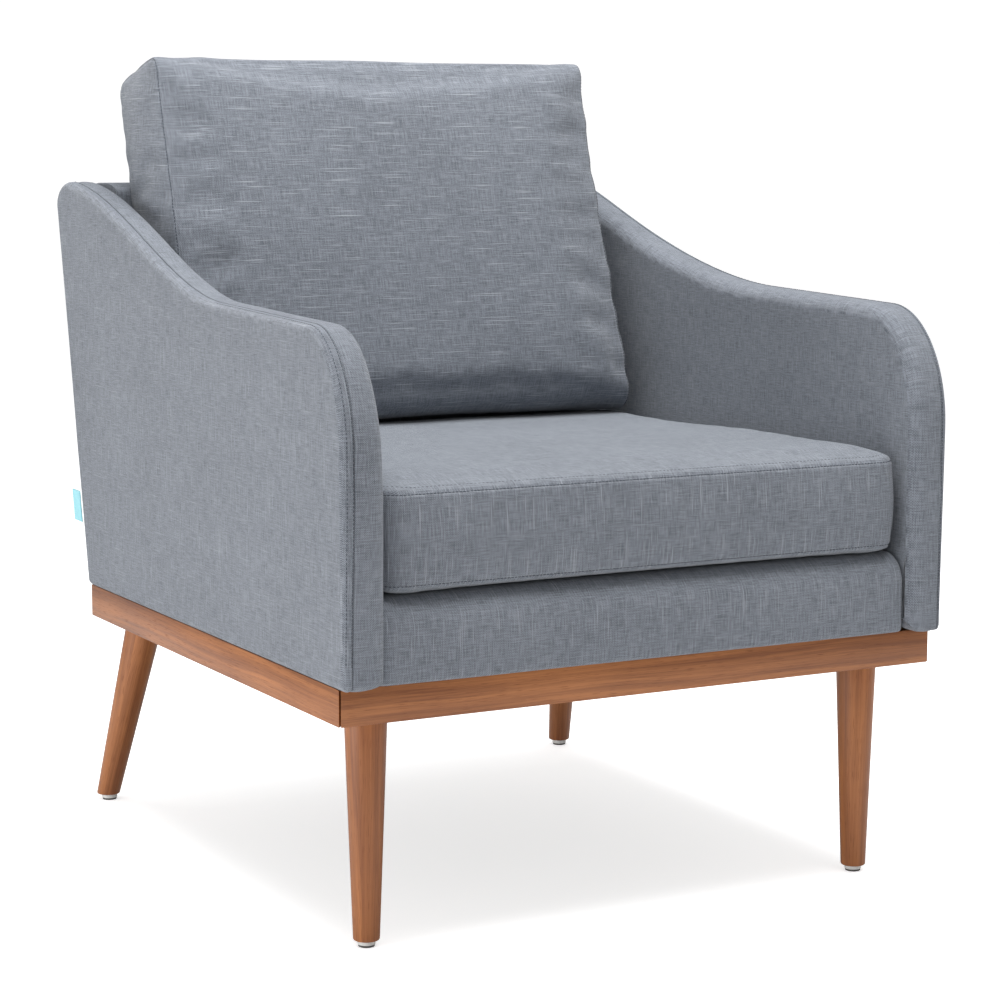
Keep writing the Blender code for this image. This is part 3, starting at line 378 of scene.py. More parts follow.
def flat_map(points, faces, facing):
    """Cloth map that reads each face straight on, in metres."""
    axes = {0: (1, 2), 1: (0, 2), 2: (0, 1)}
    made = np.zeros((len(faces), 4, 2))
    for axis, (u, v) in axes.items():
        chosen = facing == axis
        made[chosen] = points[faces[chosen]][:, :, (u, v)]
    return made.reshape(-1, 2)


def cloth_box(name, points, faces, facing):
    return mesh_object(name, points, faces, flat_map(points, faces, facing))


def onto_arc(first, second):
    """Two distances past a corner's start, moved from the square corner onto its arc, and where that applies."""
    reach = np.maximum(first, second)
    length = np.maximum(np.hypot(first, second), 1e-9)
    return first * reach / length, second * reach / length, (first > 0) & (second > 0)


def round_plan(x, y, half_x, half_y, radius):
    """Moves points of a rectangle so that its corners follow a radius."""
    out_x, out_y = x.copy(), y.copy()
    dx = np.abs(x) - (half_x - radius)
    dy = np.abs(y) - (half_y - radius)
    at_corner = (dx > 0) & (dy > 0)
    reach = np.maximum(dx, dy)
    length = np.hypot(dx, dy)
    scale = np.where(length > 0, reach / np.maximum(length, 1e-9), 1.0)
    out_x[at_corner] = (np.sign(x) * (half_x - radius + dx * scale))[at_corner]
    out_y[at_corner] = (np.sign(y) * (half_y - radius + dy * scale))[at_corner]
    return out_x, out_y


def smooth_step(value, low, high):
    share = np.clip((value - low) / (high - low), 0.0, 1.0)
    return share * share * (3 - 2 * share)


def ripple(points, seed, size, depth):
    """Small slow swellings, the same every run."""
    rng = np.random.default_rng(seed)
    total = np.zeros(len(points))
    for _ in range(9):
        direction = rng.normal(size=3)
        direction /= np.linalg.norm(direction)
        phase = rng.uniform(0, math.tau)
        total += np.sin(points @ direction * math.tau / (size * rng.uniform(0.7, 1.6)) + phase)
    return total / 9 * depth * 2


def vertex_normals(piece):
    found = np.zeros(len(piece.data.vertices) * 3)
    piece.data.vertex_normals.foreach_get("vector", found)
    return found.reshape(-1, 3)


def stitch_shape():
    """One stitch, modelled once: a low rounded dash that lies along +X."""
    bpy.ops.mesh.primitive_uv_sphere_add(segments=6, ring_count=4, radius=1.0, location=(0, 0, 0))
    sample = bpy.context.active_object
    points = coords(sample)[:, (2, 1, 0)]
    faces = [list(face.vertices)[::-1] for face in sample.data.polygons]
    bpy.data.objects.remove(sample, do_unlink=True)
    return points, faces


STITCH_POINTS, STITCH_FACES = stitch_shape()
STITCH_LIFT = 0.05
# Seam rows: dark thread over the cushion seams, painted shade standing in for the shadow in the seam groove as
# well as the stitches.
SEAM_SHADE_STITCH = {"pitch": 4.0, "length": 3.6, "width": 1.1}


def stitch_run(name, paths, cloth, body, pitch=4.4, length=3.1, width=0.75):
    """A row of stitches along each path of points, laid on the nearest cloth; along a seam the dark thread is also
    painted shade for the seam groove. Lengths are in millimetres.
    """
    tree = BVHTree.FromPolygons([tuple(p) for p in coords(cloth)],
                                [tuple(f.vertices) for f in cloth.data.polygons])
    points, faces = [], []
    for path in paths:
        path = np.asarray(path, float)
        steps = np.linalg.norm(np.diff(path, axis=0), axis=1)
        reach = np.concatenate([[0.0], np.cumsum(steps)])
        count = int(reach[-1] / (pitch * MM))
        for k in range(count):
            here = (k + 0.5) * pitch * MM
            centre = np.array([np.interp(here, reach, path[:, axis]) for axis in range(3)])
            ahead = np.array([np.interp(here + 1.2 * MM, reach, path[:, axis]) for axis in range(3)])
            spot, normal, _, _ = tree.find_nearest(Vector(centre))
            up = normal.normalized()
            along = Vector(ahead - centre)
            along = (along - up * along.dot(up)).normalized()
            side = up.cross(along)
            base = len(points)
            frame_axes = np.array([along * (length * MM / 2), side * (width * MM / 2), up * (width * MM * 0.4)])
            points.extend(STITCH_POINTS @ frame_axes + np.array(spot + up * STITCH_LIFT * MM))
            faces.extend([[base + i for i in face] for face in STITCH_FACES])
    piece = mesh_object(name, points, faces)
    dress(piece, THREAD_AND_SEAM_SHADE, body)


def puff(piece, pins, pressure, frames, cap_out, cap_in, slack=0.0):
    """Fills a sewn cover: the cloth swells between its pinned seams, and no point moves past the caps."""
    start = coords(piece)
    normals = vertex_normals(piece)
    group = piece.vertex_groups.new(name="seams")
    for vertex, weight in enumerate(pins):
        if weight > 0:
            group.add([vertex], float(weight), "REPLACE")
    make_active(piece)
    modifier = piece.modifiers.new("Cloth", "CLOTH")
    settings = modifier.settings
    settings.quality = 5
    settings.mass = 0.3
    settings.tension_stiffness = 12.0
    settings.compression_stiffness = 12.0
    settings.shear_stiffness = 4.0
    settings.bending_stiffness = 0.8
    settings.use_pressure = True
    settings.uniform_pressure_force = pressure
    settings.vertex_group_mass = "seams"
    settings.shrink_min = -slack
    settings.effector_weights.gravity = 0.0
    modifier.collision_settings.use_collision = False
    modifier.collision_settings.use_self_collision = False
    modifier.point_cache.frame_start = 1
    modifier.point_cache.frame_end = frames
    for number in range(1, frames + 1):
        bpy.context.scene.frame_set(number)
    bpy.ops.object.modifier_apply(modifier=modifier.name)
    bpy.context.scene.frame_set(1)
    piece.vertex_groups.clear()
    moved = coords(piece) - start
    outward = np.einsum("ij,ij->i", moved, normals)
    sideways = moved - outward[:, None] * normals
    outward = np.clip(outward, -cap_in, cap_out)
    slide = np.linalg.norm(sideways, axis=1)
    sideways *= (np.minimum(slide, 3 * MM) / np.maximum(slide, 1e-9))[:, None]
    set_coords(piece, start + outward[:, None] * normals + sideways)


# ---------------------------------------------------------------- the body's own lines
PANEL_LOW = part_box("arm_left_outer_panel")[0]
OUTER_X = -PANEL_LOW.x
INNER_X = -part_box("arm_left_inner_upholstery")[1].x
ARM_FRONT_Y = PANEL_LOW.y
SKIRT_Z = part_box("plinth_front_rail")[1].z + 0.5 * MM
BACK_LOW, BACK_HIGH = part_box("back_inner_upholstery")
BODY_TOP = BACK_HIGH.z
REAR_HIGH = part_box("back_outer_panel")[1]
OUTER_LEAN = math.radians(11.0)
INNER_LEAN = math.radians(15.0)
REAR_PANEL = 3.8 * MM
REAR_FOOT_Y = REAR_HIGH.y - (REAR_HIGH.z - SKIRT_Z) * math.tan(OUTER_LEAN)
ARM_REAR_TOP = BODY_TOP + 3 * MM
FRONT_CURVE = (0.085, 0.120)
REAR_CURVE = (0.040, 0.028)
ARM_FRONT_HEIGHT = 0.6215
ARM_SLOPE = 0.033
SWEEP_START = ARM_FRONT_Y + 0.316
SWEEP_LENGTH = 0.487


def rear_y(z):
    """The body's rear face, in front of the outside back panel."""
    return REAR_FOOT_Y - REAR_PANEL + (z - SKIRT_Z) * math.tan(OUTER_LEAN)


def arm_top(y, sweep_drop):
    """Height of the arm's top line."""
    line = ARM_FRONT_HEIGHT + ARM_SLOPE * (y - ARM_FRONT_Y - FRONT_CURVE[0])
    share = smooth_step(y, SWEEP_START, SWEEP_START + SWEEP_LENGTH)
    reach = float(np.clip((y - SWEEP_START) / SWEEP_LENGTH, 0, 1))
    drop = sweep_drop * math.sin(math.pi * reach ** 1.4) ** 1.2
    return line * (1 - share) + ARM_REAR_TOP * share - drop


def arc(centre, half, start, end, steps):
    """Points on an ellipse in the (y, z) plane, angles in degrees."""
    made = []
    for k in range(steps + 1):
        angle = math.radians(start + (end - start) * k / steps)
        made.append((centre[0] + half[0] * math.cos(angle), centre[1] + half[1] * math.sin(angle)))
    return made


def even(path, count):
    """A path's points moved to equal spacing."""
    path = np.asarray(path, float)
    reach = np.concatenate([[0.0], np.cumsum(np.linalg.norm(np.diff(path, axis=0), axis=1))])
    wanted = np.linspace(0.0, reach[-1], count)
    return np.stack([np.interp(wanted, reach, path[:, axis]) for axis in range(path.shape[1])], axis=1)


def arm_loop(sweep_drop, front_curve, rear_out, along, up):
    """The arm's outline as a closed loop: base, rear, top and front, meeting at the patch corners."""
    foot = 7 * MM
    half_y, half_z = front_curve
    top_y = ARM_FRONT_Y + half_y
    curve_z = arm_top(top_y, sweep_drop) - half_z
    rear_z = ARM_REAR_TOP - REAR_CURVE[1]
    corner_y = rear_y(rear_z) + rear_out - REAR_CURVE[0]
    corner_z = arm_top(corner_y, sweep_drop) - REAR_CURVE[1]
    front = [(ARM_FRONT_Y, z) for z in np.linspace(SKIRT_Z + foot, curve_z, 30)]
    front = arc((ARM_FRONT_Y + foot, SKIRT_Z + foot), (foot, foot), 225, 180, 5)[:-1] + front
    curve = arc((top_y, curve_z), front_curve, 180, 90, 40)
    top = [(y, arm_top(y, sweep_drop)) for y in np.linspace(top_y, corner_y, 90)][1:-1]
    corner = arc((corner_y, corner_z), REAR_CURVE, 90, 0, 24)
    rear = [(rear_y(z) + rear_out, z) for z in np.linspace(corner_z, SKIRT_Z + foot, 40)][1:]
    rear_foot = arc((rear_y(SKIRT_Z + foot) + rear_out - foot, SKIRT_Z + foot), (foot, foot), 0, -45, 5)[1:]
    base_end = arc((rear_y(SKIRT_Z + foot) + rear_out - foot, SKIRT_Z + foot), (foot, foot), -45, -90, 5)
    base_start = arc((ARM_FRONT_Y + foot, SKIRT_Z + foot), (foot, foot), 270, 225, 5)
    front_side = even(front + curve[:21], up + 1)
    top_side = even(curve[20:] + top + corner[:13], along + 1)
    rear_side = even(corner[12:] + rear + rear_foot, up + 1)
    base_side = even(base_end + [(y, SKIRT_Z) for y in np.linspace(base_end[-1][0], base_start[0][0], 60)][1:-1]
                     + base_start, along + 1)
    # Counter-clockwise seen from +X: front foot, base to the rear, rear up, top to the front, front down.
    return np.concatenate([part[::-1][:-1] for part in (base_side, rear_side, top_side, front_side)])


def loop_normals(loop):
    tangent = np.roll(loop, -1, axis=0) - np.roll(loop, 1, axis=0)
    tangent /= np.linalg.norm(tangent, axis=1)[:, None]
    return np.stack([tangent[:, 1], -tangent[:, 0]], axis=1)


def patch_from_loop(loop, along, up):
    """Fills a four-sided loop with a grid. Returns (along + 1, up + 1, 2) points; the rim is the loop."""
    base = loop[:along + 1]
    rear = loop[along:along + up + 1]
    top = loop[along + up:2 * along + up + 1][::-1]
    front = np.concatenate([loop[2 * along + up:], loop[:1]])[::-1]
    u = np.linspace(0, 1, along + 1)[:, None, None]
    v = np.linspace(0, 1, up + 1)[None, :, None]
    ruled = (1 - v) * base[:, None] + v * top[:, None] + (1 - u) * front[None] + u * rear[None]
    corners = ((1 - u) * (1 - v) * base[0] + u * (1 - v) * base[-1] + (1 - u) * v * top[0] + u * v * top[-1])
    return ruled - corners


def rim_indices(along, up):
    """Grid indices of the patch rim in the loop's order."""
    rim = [(i, 0) for i in range(along)] + [(along, j) for j in range(up)]
    rim += [(i, up) for i in range(along, 0, -1)] + [(0, j) for j in range(up, 0, -1)]
    return rim


def slab(name, loop, along, up, profile, face_a, face_b):
    """A closed pad with the loop as its outline.

    profile holds (inset from the loop, x as a function of the points) from face a to face b.
    face_a and face_b give x over each filled side.
    """
    normals = loop_normals(loop)
    points, faces, cloth = [], [], []
    sides = []
    for face_x, (inset, _) in ((face_a, profile[0]), (face_b, profile[-1])):
        patch = patch_from_loop(loop - normals * inset, along, up)
        start = len(points)
        flat = patch.reshape(-1, 2)
        points.extend(np.column_stack([face_x(flat), flat]))
        sides.append((start, patch))
    rim = rim_indices(along, up)
    rings = [[sides[0][0] + i * (up + 1) + j for i, j in rim]]
    for inset, x_at in profile[1:-1]:
        ring = loop - normals * inset
        rings.append(list(range(len(points), len(points) + len(ring))))
        points.extend(np.column_stack([x_at(ring), ring]))
    rings.append([sides[1][0] + i * (up + 1) + j for i, j in rim])
    all_points = np.array(points)
    length = np.concatenate([[0.0], np.cumsum(np.linalg.norm(np.diff(loop, axis=0, append=loop[:1]), axis=1))])
    outward = all_points[rings[0][0]][0] > all_points[rings[-1][0]][0]
    for number, (start, _) in enumerate(sides):
        for i in range(along):
            for j in range(up):
                quad = [start + i * (up + 1) + j, start + (i + 1) * (up + 1) + j,
                        start + (i + 1) * (up + 1) + j + 1, start + i * (up + 1) + j + 1]
                if (number == 0) != outward:
                    quad = quad[::-1]
                faces.append(quad)
                cloth.extend(all_points[quad][:, 1:])
    count = len(loop)
    for lower, upper in zip(rings, rings[1:]):
        for k in range(count):
            nxt = (k + 1) % count
            quad = [lower[k], upper[k], upper[nxt], lower[nxt]]
            spans = [length[k], length[k], length[k + 1], length[k + 1]]
            if not outward:
                quad, spans = quad[::-1], spans[::-1]
            faces.append(quad)
            cloth.extend([(all_points[q][0], s) for q, s in zip(quad, spans)])
    return mesh_object(name, all_points, faces, cloth)


def rounded_profile(x_a, x_b, radius_a, radius_b, strip=6, crown=0.0, steps=6):
    """Quarter round at face a, a strip, and a quarter round at face b. x_a and x_b are functions of (y, z)."""
    made = []
    for k in range(steps + 1):
        angle = math.pi / 2 * k / steps
        made.append((radius_a * (1 - math.sin(angle)), ("a", radius_a * (1 - math.cos(angle)))))
    for k in range(1, strip):
        share = k / strip
        made.append((-crown * math.sin(math.pi * share), ("m", share)))
    for k in range(steps + 1):
        angle = math.pi / 2 * (1 - k / steps)
        made.append((radius_b * (1 - math.sin(angle)), ("b", radius_b * (1 - math.cos(angle)))))

    def place(kind, amount):
        def x_at(ring):
            a, b = x_a(ring), x_b(ring)
            direction = np.sign(b - a)
            if kind == "a":
                return a + direction * amount
            if kind == "b":
                return b - direction * amount
            first, last = a + direction * radius_a, b - direction * radius_b
            return first + (last - first) * amount
        return x_at

    return [(inset, place(*rule)) for inset, rule in made]


# ---------------------------------------------------------------- arms
ALONG, UP = 110, 62
ARM_OUT = {"left": OUTER_X - 0.2 * MM, "right": OUTER_X - 3.5 * MM}
SEAM_IN = {"left": 12.5 * MM, "right": 7.0 * MM}
SWEEP_DROP = {"left": 0.0, "right": 22 * MM}
FRONT_CURVES = {"left": FRONT_CURVE, "right": (0.095, 0.122)}
FOOT_TAPER = {"left": 0.0, "right": 2.5 * MM}
PANEL_ROUND = {"left": 7.4 * MM, "right": 4.8 * MM}
FRONT_SEAM_IN = {"left": 9.5 * MM, "right": SEAM_IN["right"]}
WRAP_ROUND = 15 * MM


def build_arm(side, sign):
    """An arm: the covered outer panel, and the padded wrap over its top, front and inside."""
    high, low, wide = SEAM_IN[side], FRONT_SEAM_IN[side], ARM_OUT[side]
    loop = arm_loop(SWEEP_DROP[side], FRONT_CURVES[side], 0.0, ALONG, UP)
    side_loop = arm_loop(SWEEP_DROP[side], FRONT_CURVES[side], REAR_PANEL - 0.2 * MM, ALONG, UP)

    def outer(points):
        return sign * (wide - FOOT_TAPER[side] * smooth_step(-points[:, 1], -0.48, -SKIRT_Z))

    def seam_shade_thread(points):
        """The seam's x: it drifts out towards the corner low on the front."""
        near_front = 1 - smooth_step(points[:, 0], ARM_FRONT_Y + 0.06, ARM_FRONT_Y + 0.20)
        near_foot = 1 - smooth_step(points[:, 1], SKIRT_Z + 0.02, SKIRT_Z + 0.20)
        depth = high + (low - high) * near_front * near_foot
        return sign * (wide - depth)

    def behind_seam(points):
        return seam_shade_thread(points) - sign * 0.3 * MM

    def inner(points):
        return np.full(len(points), sign * (INNER_X + 0.4 * MM))

    panel = slab(f"arm_{side}_side_cloth", side_loop, ALONG, UP,
                 rounded_profile(outer, seam_shade_thread, PANEL_ROUND[side], 1.6 * MM, strip=3),
                 outer, seam_shade_thread)
    points = coords(panel)
    points[:, 0] -= sign * np.abs(ripple(points, 11 + sign, 0.20, 0.5 * MM))
    set_coords(panel, points)
    dress(panel, ARM_CLOTH, CHAIR, [f"arm_{side}_outer_panel"])

    wrap = slab(f"arm_{side}_padded_wrap", loop, ALONG, UP,
                rounded_profile(behind_seam, inner, 1.7 * MM, WRAP_ROUND, strip=8, crown=0.6 * MM, steps=10),
                behind_seam, inner)
    points = coords(wrap)
    near_inside = smooth_step(-sign * points[:, 0], -OUTER_X + 0.02, -INNER_X)
    points += vertex_normals(wrap) * (ripple(points, 21 + sign, 0.13, 0.5 * MM) * near_inside)[:, None]
    # On the left arm's front the padding bulges a little inwards, over the front rail.
    low_front = smooth_step(-points[:, 2], -0.58, -0.46) * smooth_step(-points[:, 1], 0.345, 0.375)
    low_front = low_front * (side == "left")
    limit = INNER_X + 0.2 * MM - low_front * 3.5 * MM
    points[:, 0] -= sign * near_inside * low_front * 4 * MM
    points[:, 0] = sign * np.maximum(sign * points[:, 0], limit)
    set_coords(wrap, points)
    dress(wrap, STRIP_CLOTH, CHAIR, [f"arm_{side}_inner_upholstery"])

    round_top = side_loop[ALONG + 6:2 * UP + 2 * ALONG - 3]
    closing = np.column_stack([seam_shade_thread(round_top) + sign * 0.9 * MM, round_top])
    # Dark thread along the closing seam: painted shade for the dark line of the seam groove.
    stitch_run(f"arm_{side}_seam", [closing], panel, CHAIR, pitch=4.0, length=3.7, width=0.9)
    if side == "left":
        # Topstitching beside the seam, along the level part of the top and down the front.
        along = loop[ALONG + UP + round(ALONG * 0.62):2 * UP + 2 * ALONG - 3]
        x = sign * (wide - np.maximum(np.abs(wide - np.abs(seam_shade_thread(along))) - 7.5 * MM, 1.2 * MM))
        stitch_run(f"arm_{side}_topstitch", [np.column_stack([x, along])], panel, CHAIR, width=0.85)


def build_arm_frame(side, sign):
    """The timber arm frame, eased down wherever the padding above it dips."""
    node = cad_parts[f"arm_{side}_frame"]
    timber_frame = bpy.data.objects.new(f"arm_{side}_timber", node.data.copy())
    bpy.context.scene.collection.objects.link(timber_frame)
    drop = SWEEP_DROP[side]
    points = coords(timber_frame)
    for point in points:
        point[2] = min(point[2], arm_top(point[1], drop) - 9 * MM)
        point[0] = sign * min(sign * point[0], ARM_OUT[side] - 8 * MM)
    set_coords(timber_frame, points)
    dress(timber_frame, RAW_WOOD, CHAIR, [f"arm_{side}_frame"])


# ---------------------------------------------------------------- back and front padding
def build_inside_back():
    """Leaning inside back with a soft rolled top."""
    low_z = BACK_LOW.z
    half = INNER_X - 0.3 * MM
    height = BODY_TOP - low_z
    points, faces, facing = grid_box(edge_lines(2 * half, 14 * MM), edge_lines(0.06, 7 * MM, (3.0, 8.0, 15.0)),
                                     edge_lines(height, 10 * MM))
    u, v, w = points.T
    x = u * half
    share = (w + 1) / 2
    z = low_z + share * height
    front = BACK_LOW.y + (z - low_z) * math.tan(INNER_LEAN)
    back_face = rear_y(z) - 0.3 * MM
    middle = (front + back_face) / 2
    thick = (back_face - front) / 2
    roll = 0.010
    up = np.clip((z - (BODY_TOP - roll)) / roll, 0, 1)
    thick = np.where(thick > roll, thick - roll * (1 - np.sqrt(1 - up ** 2)), thick)
    y = middle + v * thick
    z = z - (1 - np.cos(np.clip(np.abs(v), 0, 1) ** 3 * math.pi / 2)) * 0.004 * up
    piece = cloth_box("inside_back_padding", np.column_stack([x, y, z]), faces, facing)
    subdivide_surface(piece)
    dress(piece, STRIP_CLOTH, CHAIR, ["back_inner_upholstery"])


REAR_LIFT = 3.4 * MM
REAR_STITCH_IN = 8 * MM


def build_outside_back():
    """Covered rear panel, sewn to both arm panels and rolled over the top."""
    left_x = -(ARM_OUT["left"] - SEAM_IN["left"] - 0.3 * MM)
    right_x = ARM_OUT["right"] - SEAM_IN["right"] - 0.3 * MM
    half, middle = (right_x - left_x) / 2, (right_x + left_x) / 2
    top = REAR_HIGH.z
    height = top - SKIRT_Z
    points, faces, facing = grid_box(edge_lines(2 * half, 14 * MM), np.array([-1.0, 0.0, 1.0]),
                                     edge_lines(height, 14 * MM))
    u, v, w = points.T
    x = u * half
    z = SKIRT_Z + (w + 1) / 2 * height
    edge = np.minimum(np.minimum(half - np.abs(x), top - z), z - SKIRT_Z)
    eased = np.clip(edge / (6 * MM), 0, 1)
    lift = REAR_LIFT * np.sqrt(1 - (1 - eased) ** 2)
    face_y = REAR_FOOT_Y + (z - SKIRT_Z) * math.tan(OUTER_LEAN)
    x = x + middle
    y = face_y - REAR_LIFT + np.where(v > 0, lift, np.where(v < 0, 0.0, lift / 2))
    piece = cloth_box("outside_back_cloth", np.column_stack([x, y, z]), faces, facing)
    subdivide_surface(piece)
    dress(piece, ARM_CLOTH, CHAIR, ["back_outer_panel"])
    line_z = top - REAR_STITCH_IN
    paths = [[(middle + sign * (half - REAR_STITCH_IN), REAR_FOOT_Y + (z - SKIRT_Z) * math.tan(OUTER_LEAN), z)
              for z in np.linspace(SKIRT_Z + 0.006, line_z, 60)] for sign in (-1, 1)]
    paths.append([(x, REAR_FOOT_Y + (line_z - SKIRT_Z) * math.tan(OUTER_LEAN), line_z)
                  for x in np.linspace(left_x + REAR_STITCH_IN, right_x - REAR_STITCH_IN, 60)])
    stitch_run("outside_back_topstitch", paths, piece, CHAIR, width=0.6)


def build_front_rail():
    """Padding over the front rail, between the arms, with a soft upper edge."""
    low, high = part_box("front_rail_upholstery")
    half = INNER_X - 0.2 * MM
    depth = high.y - low.y
    height = high.z - SKIRT_Z
    points, faces, facing = grid_box(edge_lines(2 * half, 9 * MM), edge_lines(depth, 5 * MM, (2.0, 5.0)),
                                     edge_lines(height, 5 * MM, (2.0, 5.0, 9.0)))
    u, v, w = points.T
    x = u * half
    y = low.y + (v + 1) / 2 * depth
    z = SKIRT_Z + (w + 1) / 2 * height
    radius = 0.030
    dy = np.clip(low.y + radius - y, 0, None)
    dz = np.clip(z - (high.z - radius), 0, None)
    new_dy, new_dz, both = onto_arc(dy, dz)
    y = np.where(both, low.y + radius - new_dy, y)
    z = np.where(both, high.z - radius + new_dz, z)
    at_end = np.clip(1 - (half - np.abs(x)) / (12 * MM), 0, 1)
    soft = 1 - np.sqrt(1 - at_end ** 2)
    y = y + soft * 6 * MM * (v < 0.5)
    z = z - soft * 4 * MM * (w > 0)
    foot = np.clip(1 - (z - SKIRT_Z) / (5 * MM), 0, 1)
    y = y + (1 - np.sqrt(1 - foot ** 2)) * 3 * MM * (v < 0)
    swell = (1 - np.clip(np.abs(w + 0.15), 0, 1) ** 3) * (1 - np.abs(u) ** 12)
    y = y - swell * 2.2 * MM * (v < -0.5)
    spots = np.column_stack([x, y, z])
    spots[:, 1] += ripple(spots, 31, 0.12, 0.6 * MM) * (v < 0)
    piece = cloth_box("front_rail_padding", spots, faces, facing)
    subdivide_surface(piece)
    dress(piece, BOXING_CLOTH, CHAIR, ["front_rail_upholstery"])


def build_deck():
    """The cloth deck under the seat cushion, sagging a little on its springs."""
    low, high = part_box("seat_deck_pad")
    size = high - low
    centre = (high + low) / 2
    points, faces, facing = grid_box(edge_lines(size.x, 14 * MM), edge_lines(size.y, 14 * MM),
                                     np.array([-1.0, 0.0, 1.0]))
    u, v, w = points.T
    x = centre.x + u * size.x / 2
    y = centre.y + v * size.y / 2
    sag = (1 - u ** 4) * (1 - v ** 4) * 2.0 * MM
    z = centre.z + w * size.z / 2 - np.where(w > 0, sag, 0.0)
    spots = np.column_stack([x, y, z])
    piece = cloth_box("seat_deck_cloth", spots, faces, facing)
    subdivide_surface(piece)
    dress(piece, DECK_CLOTH, CHAIR, ["seat_deck_pad"])


# ---------------------------------------------------------------- loose cushions
SINK = 7 * MM
PRESSURE = 3.0
PUFF_FRAMES = 16
SEAM_DEPTH = 1.8 * MM
FILLING_INSET = 1.5 * MM
FILLING_SCALE = 0.97
BACK_THICK = 0.124
BACK_HEIGHT = 0.4045
BACK_INSET_RIGHT = 28 * MM
BACK_SPARE_LEFT = 7 * MM


def build_seat_cushion():
    """Boxed seat cushion: crowned top and bottom panels sewn to a boxing band."""
    low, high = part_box("seat_cushion_cover")
    half_x = (high.x - low.x) / 2 - 1.2 * MM
    half_y = (high.y - low.y) / 2
    middle = (high + low) / 2
    base, top = low.z, high.z
    top_seam, base_seam = top - 15 * MM, base + 9 * MM
    points, faces, facing = grid_box(
        edge_lines(2 * half_x, 9 * MM), edge_lines(2 * half_y, 9 * MM),
        edge_lines(top_seam - base_seam, 8 * MM, (2.0, 5.0, 10.0)))
    u, v, w = points.T
    x, y = round_plan(u * half_x, v * half_y, half_x, half_y, 25 * MM)
    z = base_seam + (w + 1) / 2 * (top_seam - base_seam)
    to_edge = np.minimum(half_x - np.abs(u) * half_x, half_y - np.abs(v) * half_y)
    rise = np.sqrt(1 - (1 - np.clip(to_edge / (42 * MM), 0, 1)) ** 2.4)
    broad = (1 - u ** 2) * (1 - v ** 2)
    z = z + np.where(w >= 1, rise * 10.5 * MM + broad * 3.0 * MM, 0.0)
    z = z - np.where(w <= -1, rise * 9 * MM, 0.0)
    # The back cushion presses the rear of the seat down.
    z = z - (1 + w) / 2 * smooth_step(y, -0.12, 0.20) * SINK
    on_band = 1 - w ** 2
    x = x + np.sign(x) * on_band * 2.0 * MM * (np.abs(u) >= 1)
    y = y - on_band * 2.6 * MM * (v <= -1)
    spots = np.column_stack([x + middle.x, y + middle.y, z])
    piece = cloth_box("seat_cushion_sewn", spots, faces, facing)
    seam_shade_thread = (np.abs(w) >= 1) & (np.maximum(np.abs(u), np.abs(v)) >= 1)
    puff(piece, seam_shade_thread.astype(float), PRESSURE, PUFF_FRAMES, 4 * MM, 1 * MM, slack=0.003)
    spots = coords(piece)
    away = smooth_step(to_edge, 0.004, 0.05)
    spots += vertex_normals(piece) * (ripple(spots, 41, 0.16, 0.8 * MM) * away)[:, None]
    normals = vertex_normals(piece)
    spots[seam_shade_thread] -= normals[seam_shade_thread] * SEAM_DEPTH
    spots[:, 0] = np.clip(spots[:, 0], -INNER_X + 0.5 * MM, INNER_X - 0.5 * MM)
    spots[:, 1] = np.minimum(spots[:, 1], high.y - 0.6 * MM)
    spots[:, 2] = np.clip(spots[:, 2], base, top + 0.4 * MM)
    set_coords(piece, spots)
    order = np.argsort(np.arctan2(spots[:, 1] - middle.y, spots[:, 0] - middle.x))
    loops = []
    for level in (1, -1):
        ring = [i for i in order if seam_shade_thread[i] and w[i] * level > 0]
        loops.append(spots[ring + ring[:1]])
    subdivide_surface(piece)
    # Top and bottom panels take the lighter painted copy of the linen; the band keeps the plain linen.
    dress(piece, SEAT_CLOTH_PAINTED_LIGHTER, "seat_cushion", ["seat_cushion_cover"])
    band = np.abs(flat_facing(piece)[:, 2]) < 0.6
    piece.data.materials.append(BOXING_CLOTH)
    piece.data.polygons.foreach_set("material_index", band.astype(np.int32))
    fill_cushion(piece, "seat_cushion_foam", "seat_cushion_core", "seat_cushion")
    # Dark thread over the seams: painted shade for the seam grooves' dark lines.
    stitch_run("seat_cushion_seam_shade_thread", loops, piece, "seat_cushion", **SEAM_SHADE_STITCH)
    centre = np.array([middle.x, middle.y, 0.0])
    inner = (loops[0] - centre) * np.array([1 - 7 * MM / half_x, 1 - 7 * MM / half_y, 1.0]) + centre
    inner[:, 2] += 5 * MM
    stitch_run("seat_cushion_topstitch", [inner], piece, "seat_cushion", width=0.7, length=2.8)


def fill_cushion(cover, name, core, body):
    """The filling: the sewn cover's own shape, a little smaller."""
    filling = bpy.data.objects.new(name, cover.data.copy())
    bpy.context.scene.collection.objects.link(filling)
    spots = coords(cover)
    centre = (spots.min(0) + spots.max(0)) / 2
    set_coords(filling, (spots - vertex_normals(cover) * FILLING_INSET - centre) * FILLING_SCALE + centre)
    filling.data.polygons.foreach_set("material_index", np.zeros(len(filling.data.polygons), np.int32))
    dress(filling, FOAM, body, [core])


def flat_facing(piece):
    found = np.zeros(len(piece.data.polygons) * 3)
    piece.data.polygons.foreach_get("normal", found)
    return found.reshape(-1, 3)


